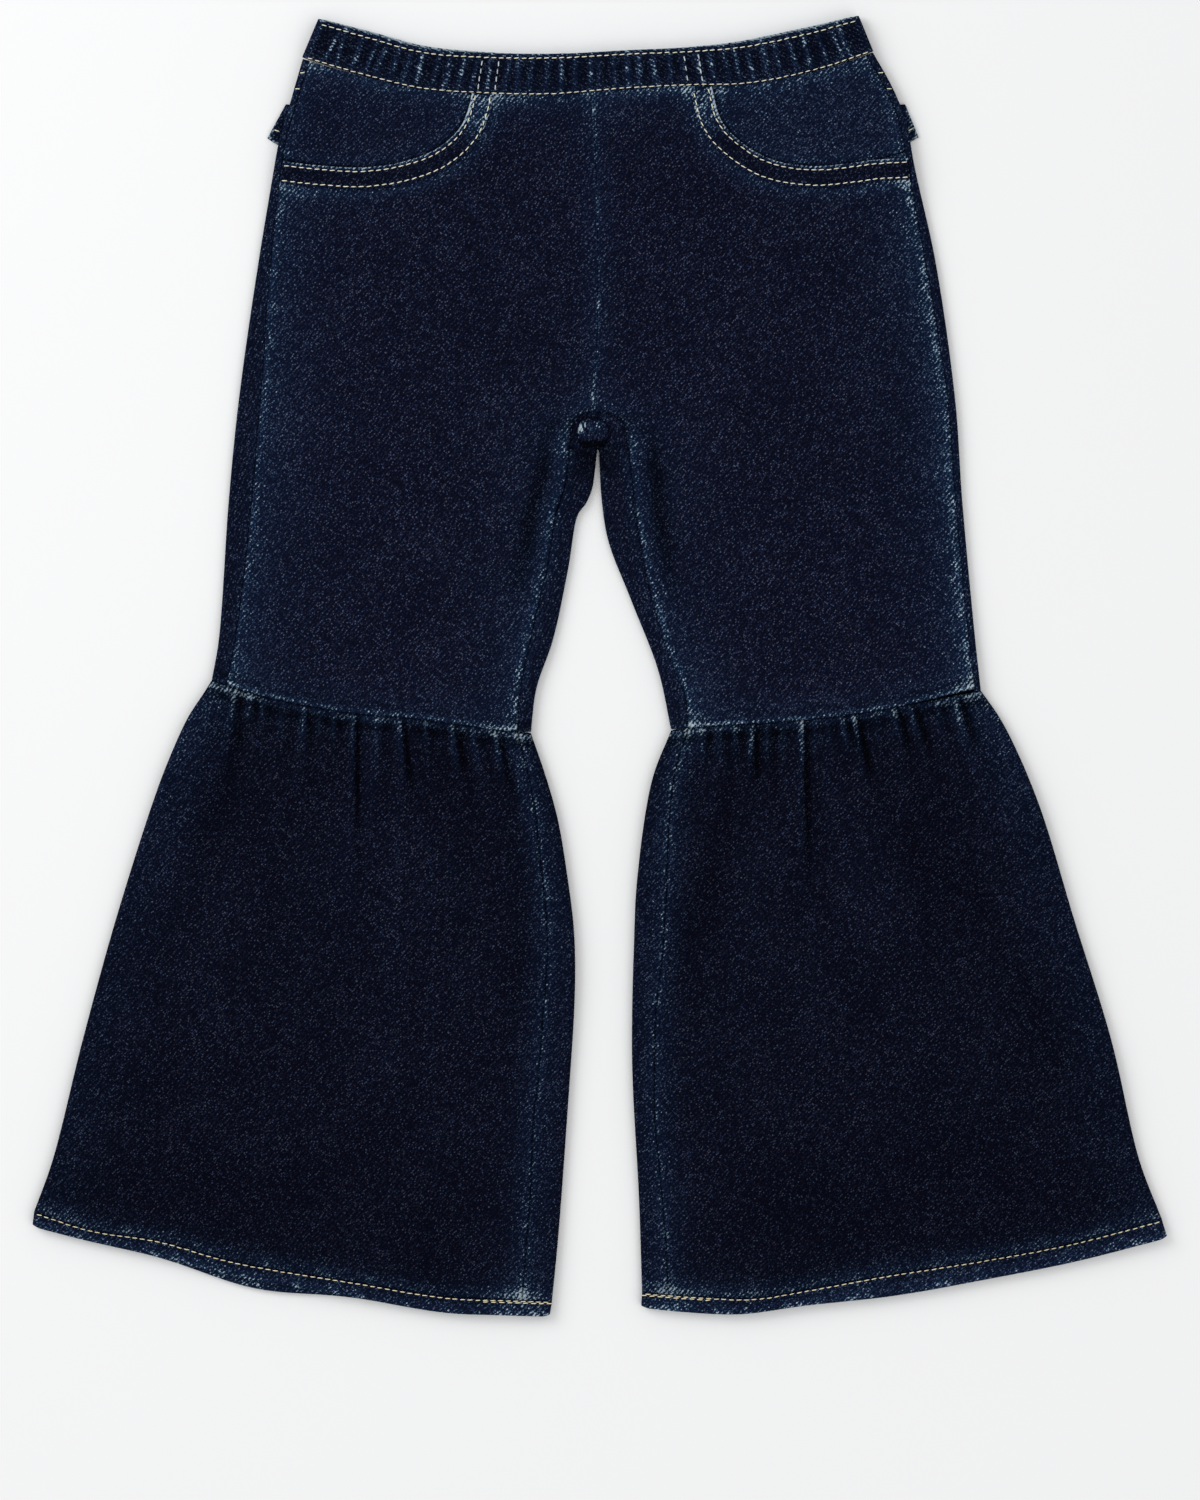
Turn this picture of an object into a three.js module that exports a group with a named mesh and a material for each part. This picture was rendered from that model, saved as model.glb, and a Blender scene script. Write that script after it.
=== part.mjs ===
// A toddler's pull-on flared jeans, laid flat on their back with the front facing up.
// Millimetres, +Z up, +Y towards the waist, +X to the right as seen from the front.
// The origin is on the surface that the jeans lie on, under the middle of their outline.
import * as THREE from 'three';

// Driving dimensions
const CLOTH = 1.2; // thickness of the stretch denim
const SEAM_GAP = 0.3; // space left between neighbouring pieces
const WAIST_GAP = 0.45; // the same where a panel meets the gathered waistband or flare
const LEG_THICKNESS = 3.0; // flattened leg: back layer, a little air, front layer
const KNEE_THICKNESS = 4.2; // the leg stands higher where it carries the gathered flare
const KNEE_RISE_FROM = 0.8; // share of the side seam where it starts to
const FLARE_THICKNESS = [4.4, 5.0, 4.6, 4.2, 4.2, 4.4]; // at even steps from the knee seam to the hem
const BAND_WALL = 2.8; // waistband casing: two layers of denim round the elastic
const BAND_THICKNESS = 6.2;
const HEM_WALL = 1.9; // the flare's edge turned up twice
// The turned edge of each mock pocket. It runs between two shares of the pocket's line.
const POCKET_EDGE = { width: 8.6, cloth: 1.0, columns: 12, from: 0.012, to: 0.985 };
const FRILL_LIFT = CLOTH + SEAM_GAP; // the seat lies on the frill
const FRILL_SLOPE = [176, 204]; // y between which the seat comes up onto it
const CENTRE_BACK_END = 0.8; // mm above the inner folds where the centre back seam ends

// Gathers of the waistband's elastic, across the front and as many across the back. The casing is thinner
// at its edges, by the numbers of `crown` from its top to its bottom.
const WAIST_GATHERS = {
  count: 40, height: 0.8, heightSpread: 0.25, uneven: 0.3, backGroove: 0.5, crown: [-0.4, 0, -0.3],
};

// Rows of the leg panels, as shares of the side seam from the waist to the knee
const ROW = { waist: 0, pocket: 0.163, arch: 0.565, crotchCut: 0.598, crotch: 0.61, knee: 1 };
const HIP_ROWS = 4;
const TRUNK_ROWS = 5;
const ARCH_ROWS = 2;
const LEG_ROWS = 6;
const SCOOP = { across: 9, side: 5, share: 0.64 }; // columns at a pocket edge, its share of the panel's top

// Lines of the cut in plan, as [x, y] points from the waist down or from the outer side inwards
const LEFT = {
  side: 'left',
  sign: -1,
  sideFold: [[-118.8, 242.4], [-123.4, 226.4], [-128.6, 208], [-130.4, 198], [-136.4, 162.4], [-144.4, 106.4],
    [-148.4, 66.4], [-152.4, 10.4], [-155.2, -5.8]],
  legFold: [[-1, 87.6], [-1.9, 79], [-3.2, 70.6], [-8.6, 61], [-12.8, 38.4], [-18.8, 10.4], [-25.4, -9],
    [-27.6, -26.4]],
  sideSeam: [[-116.2, 241.4], [-120.8, 226.4], [-126, 208], [-127.4, 198], [-131.4, 162.4], [-135.6, 106.4],
    [-141, 46.4], [-145.6, 10.4], [-149.2, -8]],
  inseam: [[-12.4, 88], [-13.8, 73.6], [-18, 59.6], [-20.8, 40.8], [-26, 18.4], [-32, -10.8], [-33, -26.2]],
  arch: [[-7.6, 100.6], [-10.4, 97], [-11.9, 92]],
  pocket: [[-126.9, 201.4], [-111.6, 199.8], [-95.2, 199], [-79.2, 201.2], [-65, 206.6], [-56, 214.8],
    [-52.6, 222.4], [-51.2, 228.2]],
  knee: [[-155.2, -5.8], [-133.2, -12.8], [-95.6, -19.6], [-74.4, -21.2], [-38.8, -26.2], [-27.6, -26.8]],
  flareSideFold: [[-155.4, -6.4], [-158.6, -11.2], [-164.8, -20.8], [-172.4, -37.6], [-178.4, -53.6],
    [-193.6, -101.6], [-206.8, -149.6], [-218.8, -197.6], [-226.2, -218.2]],
  flareLegFold: [[-27.4, -27.4], [-21.2, -45.6], [-16.8, -61.6], [-12.8, -85.6], [-10.4, -105.6],
    [-10, -129.6], [-13.2, -181.6], [-16.8, -229.6], [-19.2, -253.8]],
  seamFromLegFold: [5.4, 7.4, 9.6, 10.4, 11, 12.4, 12.4, 13.4, 12.4, 12.4, 11.8],
  hemSeam: [[-226.2, -218.2], [-203.4, -225.4], [-176.6, -229.6], [-146.2, -238], [-98, -246.2],
    [-62.2, -252], [-35.4, -253.2], [-19.2, -253.8]],
  hemEdge: [[-226.8, -224], [-206, -229.4], [-178.8, -235.6], [-145.8, -244], [-100.6, -251.8],
    [-62, -258.4], [-40.4, -259.4], [-20, -260]],
};
const RIGHT = {
  side: 'right',
  sign: 1,
  sideFold: [[109.1, 245], [117.2, 230.4], [122.4, 217], [125.8, 199], [134, 162.4], [142, 106.4],
    [144.8, 66.4], [150, 10.4], [152.2, -9.8]],
  legFold: [[-0.5, 87.6], [-0.1, 78], [0.5, 68], [3.2, 50.4], [12.4, 26.4], [23.2, -1.6], [28.4, -25.4]],
  sideSeam: [[106.6, 243.8], [114.6, 229.4], [119.8, 216.6], [123, 199], [129.6, 164], [135.4, 130.4],
    [139, 106.4], [142, 66.4], [147.4, 10.4], [149.6, -9.2]],
  inseam: [[11.2, 88], [13, 74.4], [14.4, 60], [19.6, 32], [28, 2.4], [34, -11.6], [35.4, -25]],
  arch: [[2.2, 101.1], [7.4, 99.2], [10.4, 94]],
  pocket: [[123.2, 202.8], [109.2, 202], [100.4, 200.8], [84.4, 199.6], [68, 202.4], [55.4, 210],
    [48.4, 218], [44.6, 230.8]],
  knee: [[152.2, -9.8], [117.2, -17], [94, -20.6], [70.4, -22.8], [35.2, -25], [28.4, -25.8]],
  flareSideFold: [[152.6, -10.6], [161.2, -23.2], [174.8, -53.6], [189.6, -101.6], [204.4, -149.6],
    [215.6, -197.6], [224.6, -221.2]],
  flareLegFold: [[28, -26.6], [20.8, -45.6], [14.8, -85.6], [13.6, -109.6], [12.8, -157.6], [15.6, -213.6],
    [16.8, -250.4]],
  seamFromLegFold: [7.2, 9, 10.8, 12.4, 11.8, 9.6, 9, 8, 9, 10, 10.4],
  hemSeam: [[224.6, -221.2], [186.6, -231], [151, -237.6], [115.2, -243.2], [83, -249.2], [62, -252.6],
    [43.8, -252.2], [16.8, -250.4]],
  hemEdge: [[226.6, -228.6], [190, -238], [154, -245.2], [118, -251.6], [82, -255.6], [56, -259],
    [34, -258.2], [16.4, -256.4]],
};
const CENTRE_FRONT_SEAM = [[-2.6, 229.4], [-1.8, 205], [-0.8, 166], [-1.2, 130], [-3.3, 101.8]];
const CENTRE_BACK_X = -0.8;
const WAIST_SEAM = [[-119, 243.2], [-97.6, 236.8], [-71, 230.5], [-46, 228.6], [-20, 228.2], [8.4, 230.4],
  [35, 231.8], [59.8, 232.6], [86.4, 238], [109.2, 245.6]];
const WAIST_TOP = [[-112.6, 258.2], [-90.8, 252], [-71, 246.6], [-46.4, 244.6], [-16.6, 244.4], [11.8, 245.8],
  [36, 246.8], [56.4, 248.6], [82.8, 254], [103.4, 259.4]];
const BACK_BAND_RISE = 1.6; // how far the back of the waistband shows above the front

// The crotch point, rolled forwards over the ends of the four leg panels. Its rows run from the top down.
const CROTCH_ROLL = {
  x: -3.2, top: 99.4, bottom: 89.6, columns: 8,
  rows: [
    { halfWidth: 3.2, height: 2.2 }, { halfWidth: 4.8, height: 3.1 }, { halfWidth: 5.8, height: 3.4 },
    { halfWidth: 5.9, height: 3.2 }, { halfWidth: 5.2, height: 2.4 },
  ],
};

// The hemmed frill across the seat. Only its two ends show, past the sides.
const FRILL = {
  top: [[-125.6, 224.6], [-60, 221], [0, 220], [60, 222], [122, 224.6]],
  bottom: [[-133, 211], [-128, 208.2], [-60, 206], [0, 205.6], [60, 206.6], [121, 208.4], [127.4, 211.4]],
  columns: 24,
  rows: 2,
};

// Gathers of each flare under the knee seam. Their crests start `at` mm from the side fold, run `run` mm
// down and drift `drift` mm inwards on the way.
const GATHERS = {
  left: [
    { at: 10.6, height: 1.5, run: 30, drift: -5 }, { at: 17, height: 1.2, run: 20, drift: -2 },
    { at: 21.6, height: 1.2, run: 20, drift: -1 }, { at: 30, height: 1.0, run: 36, drift: -3 },
    { at: 38.6, height: 1.5, run: 22, drift: -1 }, { at: 45, height: 1.0, run: 22, drift: 0 },
    { at: 50.4, height: 1.1, run: 24, drift: 0 }, { at: 58.6, height: 2.2, run: 80, drift: -1 },
    { at: 68, height: 1.0, run: 34, drift: 0 }, { at: 76.8, height: 2.0, run: 44, drift: 3 },
    { at: 87, height: 1.0, run: 30, drift: 2 }, { at: 97.8, height: 1.6, run: 30, drift: 3 },
    { at: 106, height: 1.1, run: 30, drift: 4 }, { at: 115, height: 1.5, run: 40, drift: 6 },
  ],
  right: [
    { at: 10.4, height: 1.8, run: 30, drift: -5 }, { at: 18, height: 1.0, run: 24, drift: -4 },
    { at: 28.8, height: 1.7, run: 24, drift: -5 }, { at: 35.6, height: 1.7, run: 24, drift: -5 },
    { at: 43, height: 1.0, run: 30, drift: -4 }, { at: 51.6, height: 2.0, run: 42, drift: -6 },
    { at: 56.4, height: 1.5, run: 20, drift: -3 }, { at: 62, height: 1.0, run: 24, drift: -1 },
    { at: 67, height: 1.0, run: 22, drift: 0 }, { at: 72.2, height: 2.2, run: 90, drift: 0 },
    { at: 80, height: 1.0, run: 30, drift: 0 }, { at: 86, height: 1.2, run: 36, drift: 1 },
    { at: 92, height: 1.9, run: 32, drift: 2 }, { at: 98.6, height: 1.2, run: 22, drift: 1 },
    { at: 105.4, height: 1.1, run: 20, drift: 1 }, { at: 111.8, height: 1.2, run: 20, drift: 1 },
  ],
};
const BACK_GATHER_SHARE = 0.45; // the gathers that the jeans lie on are pressed flatter
const GATHER_AT_SEAM = 0.5; // share of its height that a gather has in the seam itself
const GATHER_RISE = 9; // mm below the seam where it is at its highest
const FLARE_ROWS = 9;
const FLARE_ROW_GROWTH = 1.6; // the rows lie closer together near the gathers

// Broad soft folds of each flare: a trough along a line of [x, y] points
const TROUGHS = {
  left: [
    { line: [[-143, -14], [-150, -50], [-160, -68]], width: 13, depth: 1.2 },
    { line: [[-62, -24], [-55, -60], [-54, -104]], width: 12, depth: 0.8 },
  ],
  right: [
    { line: [[54, -42], [46, -74], [34, -134]], width: 15, depth: 1.2 },
    { line: [[136, -46], [162, -102], [184, -154]], width: 16, depth: 1.2 },
  ],
};
const HEM_COLUMNS = 26;

const DENIM = { color: 0x1c2740, roughness: 0.92, metalness: 0 };
const garment = new THREE.Group();

// Curves and patches in plan

/** A smooth curve through [x, y] points, read by the share of its length. */
function curve(points) {
  const path = points.map(([x, y]) => new THREE.Vector3(x, y, 0));
  const line = new THREE.CatmullRomCurve3(path, false, 'centripetal');
  return (share) => line.getPointAt(THREE.MathUtils.clamp(share, 0, 1));
}

/** The stretch of a curve between two of its shares, as a curve of its own. */
function stretch(line, from, to) {
  return (share) => line(THREE.MathUtils.lerp(from, to, share));
}

/** Curves end to end as one, each read between its own two shares. */
function chain(curves, shares) {
  return (share) => {
    let i = 0;
    while (i < curves.length - 1 && share >= shares[i + 1]) i += 1;
    return curves[i]((share - shares[i]) / (shares[i + 1] - shares[i]));
  };
}

/** A Coons patch: the plan point at u across and at a share down, from its four edge curves. */
function patch({ start, end, top, bottom, from = 0, to = 1 }) {
  const corners = [top(0), top(1), bottom(0), bottom(1)];
  return (u, share) => {
    const t = (share - from) / (to - from);
    const point = new THREE.Vector3();
    point.addScaledVector(start(share), 1 - u).addScaledVector(end(share), u);
    point.addScaledVector(top(u), 1 - t).addScaledVector(bottom(u), t);
    point.addScaledVector(corners[0], -(1 - u) * (1 - t)).addScaledVector(corners[1], -u * (1 - t));
    return point.addScaledVector(corners[2], -(1 - u) * t).addScaledVector(corners[3], -u * t);
  };
}

/** The value at a share of the way along evenly spaced numbers. */
function along(numbers, share) {
  const place = THREE.MathUtils.clamp(share, 0, 1) * (numbers.length - 1);
  const i = Math.min(Math.floor(place), numbers.length - 2);
  return THREE.MathUtils.lerp(numbers[i], numbers[i + 1], place - i);
}

function steps(count, from = 0, to = 1) {
  return Array.from({ length: count + 1 }, (_, i) => THREE.MathUtils.lerp(from, to, i / count));
}

/** [x, y] points moved to the left of their direction, or to the right where the distance is negative. */
function beside(points, distance) {
  return points.map(([x, y], i) => {
    const [x0, y0] = points[Math.max(i - 1, 0)];
    const [x1, y1] = points[Math.min(i + 1, points.length - 1)];
    const length = Math.hypot(x1 - x0, y1 - y0);
    return [x - distance * (y1 - y0) / length, y + distance * (x1 - x0) / length];
  });
}

/** A plan point moved towards another. */
function towards(point, target, distance) {
  return point.clone().lerp(target, distance / point.distanceTo(target));
}

/** The lower side of the waist seam between two values of x. */
function underWaist(x0, x1) {
  const seam = curve(WAIST_SEAM);
  return curve(steps(8, x0, x1).map((x) => {
    let [low, high] = [0, 1];
    for (let halving = 0; halving < 24; halving += 1) {
      const middle = (low + high) / 2;
      if (seam(middle).x < x) low = middle;
      else high = middle;
    }
    return [x, seam(low).y - WAIST_GAP];
  }));
}

/** How far the seat is raised by the frill under it. */
function frillLift(y) {
  return FRILL_LIFT * THREE.MathUtils.smoothstep(y, ...FRILL_SLOPE);
}

/** Outer thickness of the flattened leg at a share of the side seam. */
function legThickness(share) {
  const rise = THREE.MathUtils.smoothstep(share, KNEE_RISE_FROM, 1);
  return THREE.MathUtils.lerp(LEG_THICKNESS, KNEE_THICKNESS, rise);
}

// Solids

/** A closed solid between two equal grids of points. A cell is left out where has(row, column) is false. */
function wallBetween(outer, inner, { has = () => true, ring = false } = {}) {
  const columns = outer[0].length;
  const key = (i, j) => `${i},${j}`;
  const cells = new Map();
  for (let i = 0; i < outer.length - 1; i += 1) {
    for (let j = 0; j < (ring ? columns : columns - 1); j += 1) {
      if (has(i, j)) cells.set(key(i, j), [i, j]);
    }
  }
  const positions = [];
  const numbers = new Map();
  const vertex = (grid, i, j) => {
    const point = grid[i][j % columns];
    if (!numbers.has(point)) {
      numbers.set(point, positions.length / 3);
      positions.push(point.x, point.y, point.z);
    }
    return numbers.get(point);
  };
  const index = [];
  const quad = (a, b, c, d) => index.push(a, b, c, a, c, d);
  const before = (j) => (ring ? (j + columns - 1) % columns : j - 1);
  const after = (j) => (ring ? (j + 1) % columns : j + 1);
  for (const [i, j] of cells.values()) {
    const around = [[i, j], [i + 1, j], [i + 1, j + 1], [i, j + 1]];
    const o = around.map(([row, column]) => vertex(outer, row, column));
    const n = around.map(([row, column]) => vertex(inner, row, column));
    quad(o[0], o[1], o[2], o[3]);
    quad(n[0], n[3], n[2], n[1]);
    if (!cells.has(key(i, before(j)))) quad(o[0], n[0], n[1], o[1]);
    if (!cells.has(key(i + 1, j))) quad(o[1], n[1], n[2], o[2]);
    if (!cells.has(key(i, after(j)))) quad(o[2], n[2], n[3], o[3]);
    if (!cells.has(key(i - 1, j))) quad(o[3], n[3], n[0], o[0]);
  }
  if (volumeOf(positions, index) < 0) index.reverse();
  const geometry = new THREE.BufferGeometry();
  geometry.setAttribute('position', new THREE.Float32BufferAttribute(positions, 3));
  geometry.setIndex(index);
  return geometry;
}

function volumeOf(positions, index) {
  const corner = (k) => new THREE.Vector3().fromArray(positions, 3 * k);
  let six = 0;
  for (let k = 0; k < index.length; k += 3) {
    six += corner(index[k]).dot(corner(index[k + 1]).cross(corner(index[k + 2])));
  }
  return six / 6;
}

function add(name, geometry) {
  geometry.computeVertexNormals();
  const mesh = new THREE.Mesh(geometry, new THREE.MeshStandardMaterial(DENIM));
  mesh.name = name;
  garment.add(mesh);
}

// Sections of a flattened tube. Each point is on the wall's middle line, `a` mm from the outer fold or
// `at` a plan point, and at height z. The way out of the tube is (na, nz), and `lift` raises the point.

const OUTER_TURN = [90, 135, 180, 225, 270];
const INNER_TURN = [-90, -45, 0, 45, 90];

/** Cloth turned round a fold. The tube lies on the side that `inwards` points to. */
function turn(foldAt, inwards, thickness, wall, degrees) {
  const radius = (thickness - wall) / 2;
  return degrees.map((degree) => {
    const angle = THREE.MathUtils.degToRad(degree);
    return {
      a: foldAt + inwards * thickness / 2 + radius * Math.cos(angle),
      z: thickness / 2 + radius * Math.sin(angle),
      na: Math.cos(angle),
      nz: Math.sin(angle),
    };
  });
}

/** Both faces of a wall, from one section for each share down. */
function faces(sections, shares, plan, wall, raise) {
  return [1, -1].map((side) => sections.map(({ points, width }, row) => points.map((p) => {
    const place = p.at ? p.at.clone() : plan((p.a + side * p.na * wall / 2) / width, shares[row]);
    place.z = p.z + side * p.nz * wall / 2 + (p.lift ?? 0) + raise(place, { p, side, row });
    return place;
  })));
}

// Hips, fronts and backs

const panelRows = [
  ...steps(HIP_ROWS, ROW.waist, ROW.pocket),
  ...steps(TRUNK_ROWS, ROW.pocket, ROW.arch).slice(1),
  ...steps(ARCH_ROWS, ROW.arch, ROW.crotchCut).slice(1),
  ...steps(LEG_ROWS, ROW.crotch, ROW.knee),
];

/** One back panel: flat under the leg, and turned up over its side and its inner fold as far as the seams. */
function backPanel(cut) {
  const sideFold = curve(cut.sideFold);
  const sideSeam = curve(cut.sideSeam);
  const inseam = curve(cut.inseam);
  const centre = CENTRE_BACK_X + cut.sign * SEAM_GAP / 2;
  const top = underWaist(sideFold(0).x, centre);
  const centreBack = curve([[centre, top(1).y], [centre, cut.legFold[0][1] + CENTRE_BACK_END]]);
  const innerEdge = chain([centreBack, curve(cut.legFold)], [ROW.waist, ROW.crotch, ROW.knee]);
  const plan = patch({ start: sideFold, end: innerEdge, top, bottom: curve(cut.knee) });
  const flat = steps(8).slice(1, -1);
  const sections = panelRows.map((share) => {
    const thickness = legThickness(share);
    const radius = thickness / 2;
    const outer = sideFold(share);
    const inner = innerEdge(share);
    const width = outer.distanceTo(inner);
    const foldAt = share >= ROW.crotch ? width : width + radius;
    const lip = { na: 0, nz: 1, z: thickness - CLOTH / 2 };
    const under = { na: 0, nz: -1, z: CLOTH / 2 };
    const legSeam = inseam((share - ROW.crotch) / (ROW.knee - ROW.crotch));
    return {
      width,
      points: [
        { ...lip, at: towards(sideSeam(share), outer, SEAM_GAP / 2) },
        ...turn(0, 1, thickness, CLOTH, OUTER_TURN),
        ...flat.map((u) => ({ ...under, a: THREE.MathUtils.lerp(radius, foldAt - radius, u) })),
        ...turn(foldAt, -1, thickness, CLOTH, INNER_TURN),
        { ...lip, at: towards(legSeam, inner, SEAM_GAP / 2) },
      ],
    };
  });
  const innerTurn = 1 + OUTER_TURN.length + flat.length;
  const legStart = panelRows.indexOf(ROW.crotch);
  const [outer, inner] = faces(sections, panelRows, plan, CLOTH, (place) => frillLift(place.y));
  add(`back_${cut.side}`, wallBetween(outer, inner, { has: (i, j) => j < innerTurn || i >= legStart }));
}

/** A wall of the front layer, from its plan. */
function frontWall(name, plan, across, down) {
  const face = (z) => down.map((share) => across.map((u) => {
    const place = plan(u, share);
    place.z = z + frillLift(place.y) + legThickness(share);
    return place;
  }));
  add(name, wallBetween(face(0), face(-CLOTH)));
}

function frontPanel(cut) {
  const inwards = cut.sign * SEAM_GAP / 2;
  const start = curve(beside(cut.sideSeam, -inwards));
  const centre = beside(CENTRE_FRONT_SEAM, inwards);
  const inseam = beside(cut.inseam, inwards);
  const arch = [centre.at(-1), ...cut.arch, inseam[0]];
  const parts = [curve(centre), curve(arch), curve(inseam)];
  const end = chain(parts, [ROW.pocket, ROW.arch, ROW.crotch, ROW.knee]);
  const scoop = beside(cut.pocket, inwards);
  const waist = underWaist(scoop.at(-1)[0], centre[0][0]);
  const corner = start(ROW.pocket);
  const scoopLine = curve([[corner.x, corner.y], ...scoop.slice(1, -1), [waist(0).x, waist(0).y]]);
  const bottom = curve([[start(1).x, start(1).y], ...cut.knee.slice(1, -1), [end(1).x, end(1).y]]);
  const top = chain([scoopLine, waist], [0, SCOOP.share, 1]);
  const plan = patch({ start, end, top, bottom, from: ROW.pocket });
  const across = [...steps(SCOOP.across, 0, SCOOP.share), ...steps(4, SCOOP.share, 1).slice(1)];
  frontWall(`front_${cut.side}`, plan, across, panelRows.filter((share) => share >= ROW.pocket));
}

/** The hip piece that shows above a mock pocket's edge. */
function hip(cut) {
  const outwards = -cut.sign * SEAM_GAP / 2;
  const start = curve(beside(cut.sideSeam, outwards));
  const to = ROW.pocket - SEAM_GAP / Math.abs(start(0).y - start(1).y);
  const scoop = beside(cut.pocket, outwards);
  const top = underWaist(start(0).x, scoop.at(-1)[0]);
  const edge = curve([[start(to).x, start(to).y], ...scoop.slice(1, -1), [top(1).x, top(1).y]]);
  const corner = SCOOP.side / SCOOP.across;
  const end = (share) => stretch(edge, 1, corner)(share / to);
  const plan = patch({ start, end, top, bottom: stretch(edge, 0, corner), to });
  frontWall(`hip_${cut.side}`, plan, steps(SCOOP.side), steps(HIP_ROWS, 0, to));
}

/** The turned edge of a mock pocket, on the front panel. */
function pocketEdge(cut) {
  const inwards = cut.sign * SEAM_GAP / 2;
  const seam = beside(cut.pocket, inwards);
  const [x, y] = seam.at(-1);
  const line = curve([...seam.slice(0, -1), [x, y - WAIST_GAP]]);
  const shares = steps(POCKET_EDGE.columns, POCKET_EDGE.from, POCKET_EDGE.to);
  const edge = shares.map((share) => line(share)).map((point) => [point.x, point.y]);
  const lines = [0, 0.5, 1].map((part) => beside(edge, cut.sign * part * POCKET_EDGE.width));
  const face = (height) => lines.map((points) => points.map(([px, py]) => (
    new THREE.Vector3(px, py, LEG_THICKNESS + SEAM_GAP + frillLift(py) + height))));
  add(`pocket_edge_${cut.side}`, wallBetween(face(POCKET_EDGE.cloth), face(0)));
}

function crotchRoll() {
  const { x, top, bottom, columns, rows } = CROTCH_ROLL;
  const floor = CLOTH + SEAM_GAP;
  const face = (inset) => rows.map(({ halfWidth, height }, i) => steps(columns, Math.PI, 0).map((angle) => (
    new THREE.Vector3(
      x + (halfWidth - inset) * Math.cos(angle),
      THREE.MathUtils.lerp(top, bottom, i / (rows.length - 1)),
      floor + (height - inset) * Math.sin(angle),
    ))));
  add('crotch_roll', wallBetween(face(0), face(CLOTH)));
}

// Flares and hems

/** How much of its height a gather has at a distance below the seam. */
function gatherShare(down, run) {
  const rise = THREE.MathUtils.lerp(GATHER_AT_SEAM, 1, THREE.MathUtils.smoothstep(down, 0, GATHER_RISE));
  return rise * (1 - THREE.MathUtils.smoothstep(down, GATHER_RISE, run));
}

/** How far the broad folds lower the flare at a plan point. */
function troughDepth(troughs, place) {
  let depth = 0;
  for (const trough of troughs) {
    const line = curve(trough.line);
    const shares = steps(12);
    const distances = shares.map((share) => Math.hypot(line(share).x - place.x, line(share).y - place.y));
    const nearest = Math.min(...distances);
    const share = shares[distances.indexOf(nearest)];
    depth += trough.depth * Math.sin(Math.PI * THREE.MathUtils.clamp(share, 0.12, 0.88))
      * Math.exp(-2 * (nearest / trough.width) ** 2);
  }
  return depth;
}

/** One flare: a single piece all the way round, with its seam on the front near the inner fold. */
function flare(cut) {
  const start = curve(cut.flareSideFold);
  const end = curve(cut.flareLegFold);
  const kneeLine = cut.knee.slice(1, -1).map(([x, y]) => [x, y - WAIST_GAP]);
  const top = curve([cut.flareSideFold[0], ...kneeLine, cut.flareLegFold[0]]);
  const plan = patch({ start, end, top, bottom: curve(cut.hemSeam) });
  const length = start(0).distanceTo(start(1));
  const widthAt = (share) => start(share).distanceTo(end(share));
  const crestAt = ({ at, run, drift }, share) => {
    const free = Math.min(share, run / length);
    const spread = cut.sign * (start(free).x - start(0).x);
    return (at + spread + drift * free * length / run) * widthAt(share) / widthAt(free);
  };
  const shares = steps(FLARE_ROWS).map((step) => step ** FLARE_ROW_GROWTH);
  const sections = shares.map((share) => {
    const thickness = along(FLARE_THICKNESS, share);
    const radius = thickness / 2;
    const width = widthAt(share);
    const seamAt = width - along(cut.seamFromLegFold, share);
    const columns = [];
    let last = radius;
    for (const gather of GATHERS[cut.side]) {
      const a = crestAt(gather, share);
      columns.push({ a: (last + a) / 2, lift: 0 });
      columns.push({ a, lift: gather.height * gatherShare(share * length, gather.run) });
      last = a;
    }
    columns.push({ a: (last + seamAt) / 2, lift: 0 });
    const lip = { z: thickness - CLOTH / 2, na: 0, nz: 1 };
    const under = { z: CLOTH / 2, na: 0, nz: -1 };
    const front = columns.map(({ a, lift }) => ({ ...lip, a, lift }));
    const back = columns.map(({ a, lift }) => ({ ...under, a, lift: lift * BACK_GATHER_SHARE }));
    return {
      width,
      points: [
        { ...lip, a: seamAt - SEAM_GAP / 2 },
        ...front.reverse(),
        ...turn(0, 1, thickness, CLOTH, OUTER_TURN),
        ...back,
        ...turn(width, -1, thickness, CLOTH, INNER_TURN),
        { ...lip, a: seamAt + SEAM_GAP / 2 },
      ],
    };
  });
  const onFront = (p) => (p.nz > 0 ? 1 : 0);
  const [outer, inner] = faces(sections, shares, plan, CLOTH, (place, { p }) => (
    -onFront(p) * troughDepth(TROUGHS[cut.side], place)));
  add(`flare_${cut.side}`, wallBetween(outer, inner));
}

/** A closed ring of cloth pressed flat: the hems and the waistband. */
function flattenedRing({ plan, widthAt, shares, thickness, wall, front, raise }) {
  const sections = shares.map((share) => {
    const width = widthAt(share);
    const place = (u) => THREE.MathUtils.lerp(thickness / 2, width - thickness / 2, u);
    return {
      width,
      points: [
        ...front.map((u, k) => ({ a: place(u), z: thickness - wall / 2, na: 0, nz: 1, k })),
        ...turn(width, -1, thickness, wall, [45, 0, -45]),
        ...front.map((u, k) => ({ a: place(1 - u), z: wall / 2, na: 0, nz: -1, k })),
        ...turn(0, 1, thickness, wall, [225, 180, 135]),
      ],
    };
  });
  const [outer, inner] = faces(sections, shares, plan, wall, raise);
  return wallBetween(outer, inner, { ring: true });
}

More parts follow.
